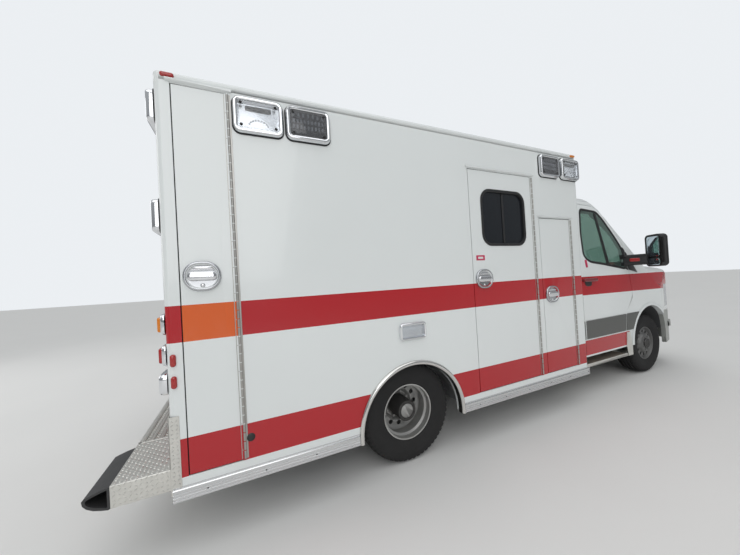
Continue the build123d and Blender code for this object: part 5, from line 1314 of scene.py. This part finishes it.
def wheel_nuts(x, sign, y, circle, radius, height):
    """Eight six-sided nuts with domed ends, evenly round a circle on a wheel's face."""
    turn = np.arange(6) * math.pi / 3
    made = []
    for angle in (np.arange(NUTS) + 0.5) * 2 * math.pi / NUTS:
        rings = [np.stack([
            x + circle * math.cos(angle) + size * np.cos(turn), np.full(6, sign * (y + out)),
            AXLE_Z + circle * math.sin(angle) + size * np.sin(turn)], axis=-1)
            for size, out in ((radius, -0.002), (radius, height * 0.8), (radius * 0.7, height))]
        made.append(loft(rings))
    return made


REAR_SLEEVE = (
    (0.790, 0.0768), (0.790, 0.0790), (0.952, 0.0790), (0.9585, 0.0760), (0.9605, 0.0700),
    (0.9585, 0.0540), (0.9500, 0.0500), (0.9500, 0.0768))
FRONT_CAP = (
    (0.9260, 0.0630), (0.9440, 0.0630), (0.9515, 0.0560), (0.9530, 0.0300), (0.9500, 0.0010),
    (0.9400, 0.0010))
REAR_LIP = (
    (0.9660, 0.2060), (0.9690, 0.2220), (0.9755, 0.2225), (0.9770, 0.2150), (0.9740, 0.2040))
FRONT_LIP = (
    (0.9130, 0.2060), (0.9160, 0.2220), (0.9225, 0.2225), (0.9240, 0.2150), (0.9210, 0.2040))
# a ring of nuts: distance out, radius of its circle, radius of a nut, height
HUB_BOLTS = (0.9590, 0.0615, 0.0065, 0.006)
REAR_NUTS = (0.7765, 0.0980, 0.0130, 0.024)
FRONT_NUTS = (0.9250, 0.0840, 0.0110, 0.020)
# each axle: its X, body, hub, bolts in the hub, nuts, lip, metal of nuts and of lip, their slot
AXLES = (
    ("rear", AXLE_X, "wheels_rear", REAR_SLEEVE, [HUB_BOLTS], REAR_NUTS, REAR_LIP, rear_steel,
     lip_metal, "wheel_steel"),
    ("front", FRONT_AXLE_X, "wheel_front", FRONT_CAP, [], FRONT_NUTS, FRONT_LIP, front_steel,
     front_steel, "wheel_steel_dark"),
)
for side, sign in CAB_SIDES:
    for axle, x, wheel, hub, bolts, nuts, lip, nut_metal, rolled_metal, slot in AXLES:
        body = f"{wheel}_{side}"
        solids = [turned(hub, x, sign)]
        for ring in bolts:
            solids += wheel_nuts(x, sign, *ring)
        piece(f"hub_{axle}_{side}", solids, dark_iron, body, 40)
        piece(f"nuts_{axle}_{side}", wheel_nuts(x, sign, *nuts), nut_metal, body, 40)
        piece(f"lip_{axle}_{side}", [turned(lip, x, sign, 72)], rolled_metal, body, 40)

# Box windows: black extruded frames clamp the panes of the entry door and of both back doors;
# the entry window slides, so an upright bar parts its two panes.
FRAME_RINGS = (
    (-0.014, 0.0005), (-0.014, 0.004), (-0.011, 0.006), (0.004, 0.006), (0.010, 0.003),
    (0.012, -0.010), (0.012, -0.0135), (0.001, -0.0135), (0.001, -0.001))
ENTRY_WINDOW_AT = (1.0485, 1.8905)
BACK_WINDOW = (0.380, 0.560)
BACK_WINDOW_AT = (0.310, 1.840)
BACK_HANDLE_AT = (0.110, 1.360)
frame_loops = plated(0.519, 0.471, 0.092, FRAME_RINGS)
divider = plated(0.022, 0.440, 0.002, (
    (0.001, -0.0138), (0, -0.013), (0, -0.008), (0.003, -0.006)), 2)
piece("entry_window_frame", [
    ring_solid(on_side(frame_loops, *ENTRY_WINDOW_AT, -1)),
    loft(on_side(divider, *ENTRY_WINDOW_AT, -1))], black_plastic, "door_entry", 40)
back_pull = plated(0.126, 0.156, 0.020, (
    (0, 0), (0, 0.016), (0.003, 0.0225), (0.009, 0.0250), (0.016, 0.0235), (0.019, 0.0222)), 6)
back_bar = plated(0.084, 0.060, 0.010, ((0, 0.0215), (0, 0.0300), (0.004, 0.0335), (0.010, 0.0340)), 5)
back_lock = dome(0, -0.052, 0.012, 0.0222, 0.005, 14)
for side, sign in CAB_SIDES:
    body = f"back_door_{side}"
    y, z = BACK_WINDOW_AT
    ring = ring_solid(on_end(plated(*BACK_WINDOW, 0.092, FRAME_RINGS), sign * y, z, BOX_REAR, -1))
    piece(f"{body}_frame", [ring], black_plastic, body, 40)
    y, z = BACK_HANDLE_AT
    dish, *pulls = (
        loft(on_end(part, sign * y, z, BOX_REAR, -1)) for part in (back_pull, back_bar, back_lock))
    piece(f"{body}_dish", [dish], dish_shadow, body, 50)
    piece(f"{body}_pull", pulls, chrome_pull, body, 50)

# Small blank labels and a filler plug on the right side: the label by the entry door's handle,
# the upright one on the cab door, and a black plug low on the rear locker.
label_red = finish("label_red", (0.55, 0.03, 0.10), 0.35, spread=0.05, grain=90.0)
label_white = finish("label_white", (0.78, 0.78, 0.76), 0.35, spread=0.03, grain=90.0)
DECAL = ((0, 0.0001), (0, 0.0008), (0.0006, 0.0010))
ENTRY_LABEL_AT = (0.741, 1.540)
entry_label = plated(0.096, 0.044, 0.003, DECAL, 3)
entry_field = plated(0.056, 0.018, 0.002, ((0, 0.0005), (0, 0.0014), (0.0006, 0.0016)), 3)
for name, loops, material in (
    ("entry_label", entry_label, label_red), ("entry_label_field", entry_field, label_white),
):
    piece(name, [loft(on_side(loops, *ENTRY_LABEL_AT, -1))], material, "door_entry")
cab_label = plated(0.030, 0.085, 0.003, ((0, -0.001), (0, 0.0056), (0.0006, 0.0058)), 3)
piece("cab_label", [loft(on_cab(cab_label, -1, 2.415, 1.450))], label_red, "cab_door_right")
plug = dome(0, 0, 0.024, 0.0, 0.007, 20, 4)
piece("side_plug", [loft(on_side(plug, -1.114, 0.533, -1))], black_plastic, "root")

# Seats and bench: foam cushions in sewn vinyl. Each is blown up a little as cloth from its
# block, so its faces crown and its sides pull in, and a sewn bead runs round its middle.
vinyl = finish("seat_vinyl", (0.055, 0.062, 0.085), 0.45, spread=0.15, grain=30.0, bump=0.0005,
               pitch=420.0)
CLOTH_FRAMES = 20
VOXEL = 0.014
SEAT_Y = (0.262, 0.728)
SEAT_BACK_Y = (0.277, 0.713)
SEAT_BACK_X = (2.440 + AXLE_X, 2.545 + AXLE_X)
SEAT_BACK_Z = (1.150, 1.832)
SEAT_BACK_LEAN = 0.14
BENCH_X = (-1.088, 0.508)
BEAD_SLICES = 96


def settled(made):
    """The object's mesh as its modifiers leave it at the present frame."""
    graph = bpy.context.evaluated_depsgraph_get()
    return bpy.data.meshes.new_from_object(made.evaluated_get(graph))


def cushion(x0, x1, y0, y1, z0, z1, corner=0.045, lean=0.0):
    """Rings of a rounded block from its foot to its top, drawn in at both ends and slanted
    backwards by a share of its height."""
    rings = plated(x1 - x0, y1 - y0, corner, (
        (0.030, z0), (0.008, z0 + 0.012), (0, z0 + 0.022), (0, z1 - 0.022), (0.008, z1 - 0.012),
        (0.030, z1)), 5)
    rings = rings + np.array([(x0 + x1) / 2, (y0 + y1) / 2, 0])
    rings[..., 0] -= lean * (rings[..., 2] - z0)
    return loft(rings)


def stuffed(name, block, swell):
    """A block remeshed evenly, then blown up as cloth without gravity; no point ends further
    from where it began than the swell."""
    made = piece(name, [block], vinyl, "root", 180)
    even = made.modifiers.new("even", "REMESH")
    even.mode = "VOXEL"
    even.voxel_size = VOXEL
    even.use_smooth_shade = True
    made.data = settled(made)
    made.modifiers.clear()
    start = np.empty(len(made.data.vertices) * 3)
    made.data.vertices.foreach_get("co", start)
    cloth = made.modifiers.new("air", "CLOTH")
    cloth.settings.use_pressure = True
    cloth.settings.uniform_pressure_force = 4.0
    cloth.settings.effector_weights.gravity = 0.0
    cloth.point_cache.frame_end = CLOTH_FRAMES
    for step in range(1, CLOTH_FRAMES + 1):
        bpy.context.scene.frame_set(step)
    blown = settled(made)
    ended = np.empty(len(start))
    blown.vertices.foreach_get("co", ended)
    shift = (ended - start).reshape(-1, 3)
    reach = np.linalg.norm(shift, axis=1)[:, None]
    start = start + (shift * np.minimum(1, swell / np.maximum(reach, 1e-9))).ravel()
    made.modifiers.clear()
    made.data.vertices.foreach_set("co", start)
    made.data.update()
    made.data.materials.clear()
    made.data.materials.append(vinyl)
    return made, start.reshape(-1, 3)


def bead(points, axis, level, slope=0.0, radius=0.0032):
    """A sewn bead round a cushion: in each slice of angle about its middle, the outermost point
    of a thin band across the axis. Empty slices take their neighbours' reach."""
    flat = [index for index in (0, 1, 2) if index != axis]
    height = points[:, axis] + slope * points[:, 2]
    band = points[np.abs(height - level) < VOXEL * 0.9]
    middle = (band[:, flat].max(axis=0) + band[:, flat].min(axis=0)) / 2
    off = band[:, flat] - middle
    at = np.arctan2(off[:, 1], off[:, 0]) % (2 * math.pi)
    place = (at * BEAD_SLICES / (2 * math.pi)).astype(int) % BEAD_SLICES
    reach = np.zeros(BEAD_SLICES)
    np.maximum.at(reach, place, np.linalg.norm(off, axis=1))
    full = np.flatnonzero(reach > 0)
    reach = np.interp(np.arange(BEAD_SLICES), full, reach[full], period=BEAD_SLICES)
    turn = (np.arange(BEAD_SLICES) + 0.5) * 2 * math.pi / BEAD_SLICES
    line = np.zeros((BEAD_SLICES, 3))
    line[:, flat[0]] = middle[0] + reach * np.cos(turn)
    line[:, flat[1]] = middle[1] + reach * np.sin(turn)
    line[:, axis] = level - slope * line[:, 2]
    outward = np.zeros((BEAD_SLICES, 3))
    outward[:, flat[0]], outward[:, flat[1]] = np.cos(turn), np.sin(turn)
    along = np.eye(3)[axis]
    round_it = np.arange(6) * math.pi / 3
    cosine, sine = np.cos(round_it)[None, :, None], np.sin(round_it)[None, :, None]
    return ring_solid(line[:, None, :] + radius * (outward[:, None, :] * cosine + along * sine))


beads, seats, benches = [], [], []
for side, sign in CAB_SIDES:
    low_y, high_y = sorted(sign * y for y in SEAT_Y)
    made, points = stuffed(f"seat_cushion_{side}", cushion(
        2.437 + AXLE_X, 2.913 + AXLE_X, low_y, high_y, 1.020, 1.112), 0.018)
    seats.append(made)
    beads.append(bead(points, 2, 1.066))
    low_y, high_y = sorted(sign * y for y in SEAT_BACK_Y)
    made, points = stuffed(f"seat_back_{side}", cushion(
        *SEAT_BACK_X, low_y, high_y, *SEAT_BACK_Z, lean=SEAT_BACK_LEAN), 0.022)
    seats.append(made)
    # the bead's level is the back's middle, moved on by what the lean takes off at its foot
    middle = 2.4925 + AXLE_X + SEAT_BACK_LEAN * SEAT_BACK_Z[0]
    beads.append(bead(points, 0, middle, SEAT_BACK_LEAN))
made, points = stuffed("bench_seat", cushion(
    BENCH_X[0] + AXLE_X, BENCH_X[1] + AXLE_X, -0.945, -0.572, 1.162, 1.218, 0.030), 0.012)
benches.append(made)
beads.append(bead(points, 2, 1.190))
# the bench's back is drawn lying down, then stood up with its face towards the room
lying, faces = cushion(*BENCH_X, 1.312, 1.788, 0.966, 1.012, 0.030)
standing = lying[:, [0, 2, 1]] * (1, -1, 1) + (AXLE_X, 0, 0)
made, points = stuffed("bench_back", (standing, faces), 0.010)
benches.append(made)
beads.append(bead(points, 1, -0.989))
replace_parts(seats[0], "cab_seats")
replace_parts(benches[0], "bench_cushions")
piece("cushion_beads", beads, gasket, "root", 60)

# Cabinets in the box body: flush laminate doors with thin black edges and push latches along
# the left wall, over the work top and under the roof.
CABINET_X = (-0.800, 1.370)
CABINETS_IN_ROW = 4
CABINET_DOOR = ((0, -0.001), (0, 0.005), (0.0025, 0.0065))
# the lower and the upper row: Z from and to, Y of the cabinets' faces
CABINET_ROWS = ((0.790, 1.215, 0.560), (1.680, 2.370, 0.680))
width = (CABINET_X[1] - CABINET_X[0]) / CABINETS_IN_ROW
cabinet_doors, latches = [], []
for low_z, high_z, face in CABINET_ROWS:
    for x in CABINET_X[0] + width * (np.arange(CABINETS_IN_ROW) + 0.5):
        door = plated(width - 0.012, high_z - low_z, 0.012, CABINET_DOOR, 3)
        latch = dome(width * 0.36, 0, 0.016, 0.0060, 0.007, 16)
        for loops, kept in ((door, cabinet_doors), (latch, latches)):
            kept.append(loft(on_side(loops * (1, 1, -1), x, (low_z + high_z) / 2, 1, face)))
piece("cabinet_doors", cabinet_doors, laminate, "root", 40)
piece("cabinet_latches", latches, black_plastic, "root", 40)
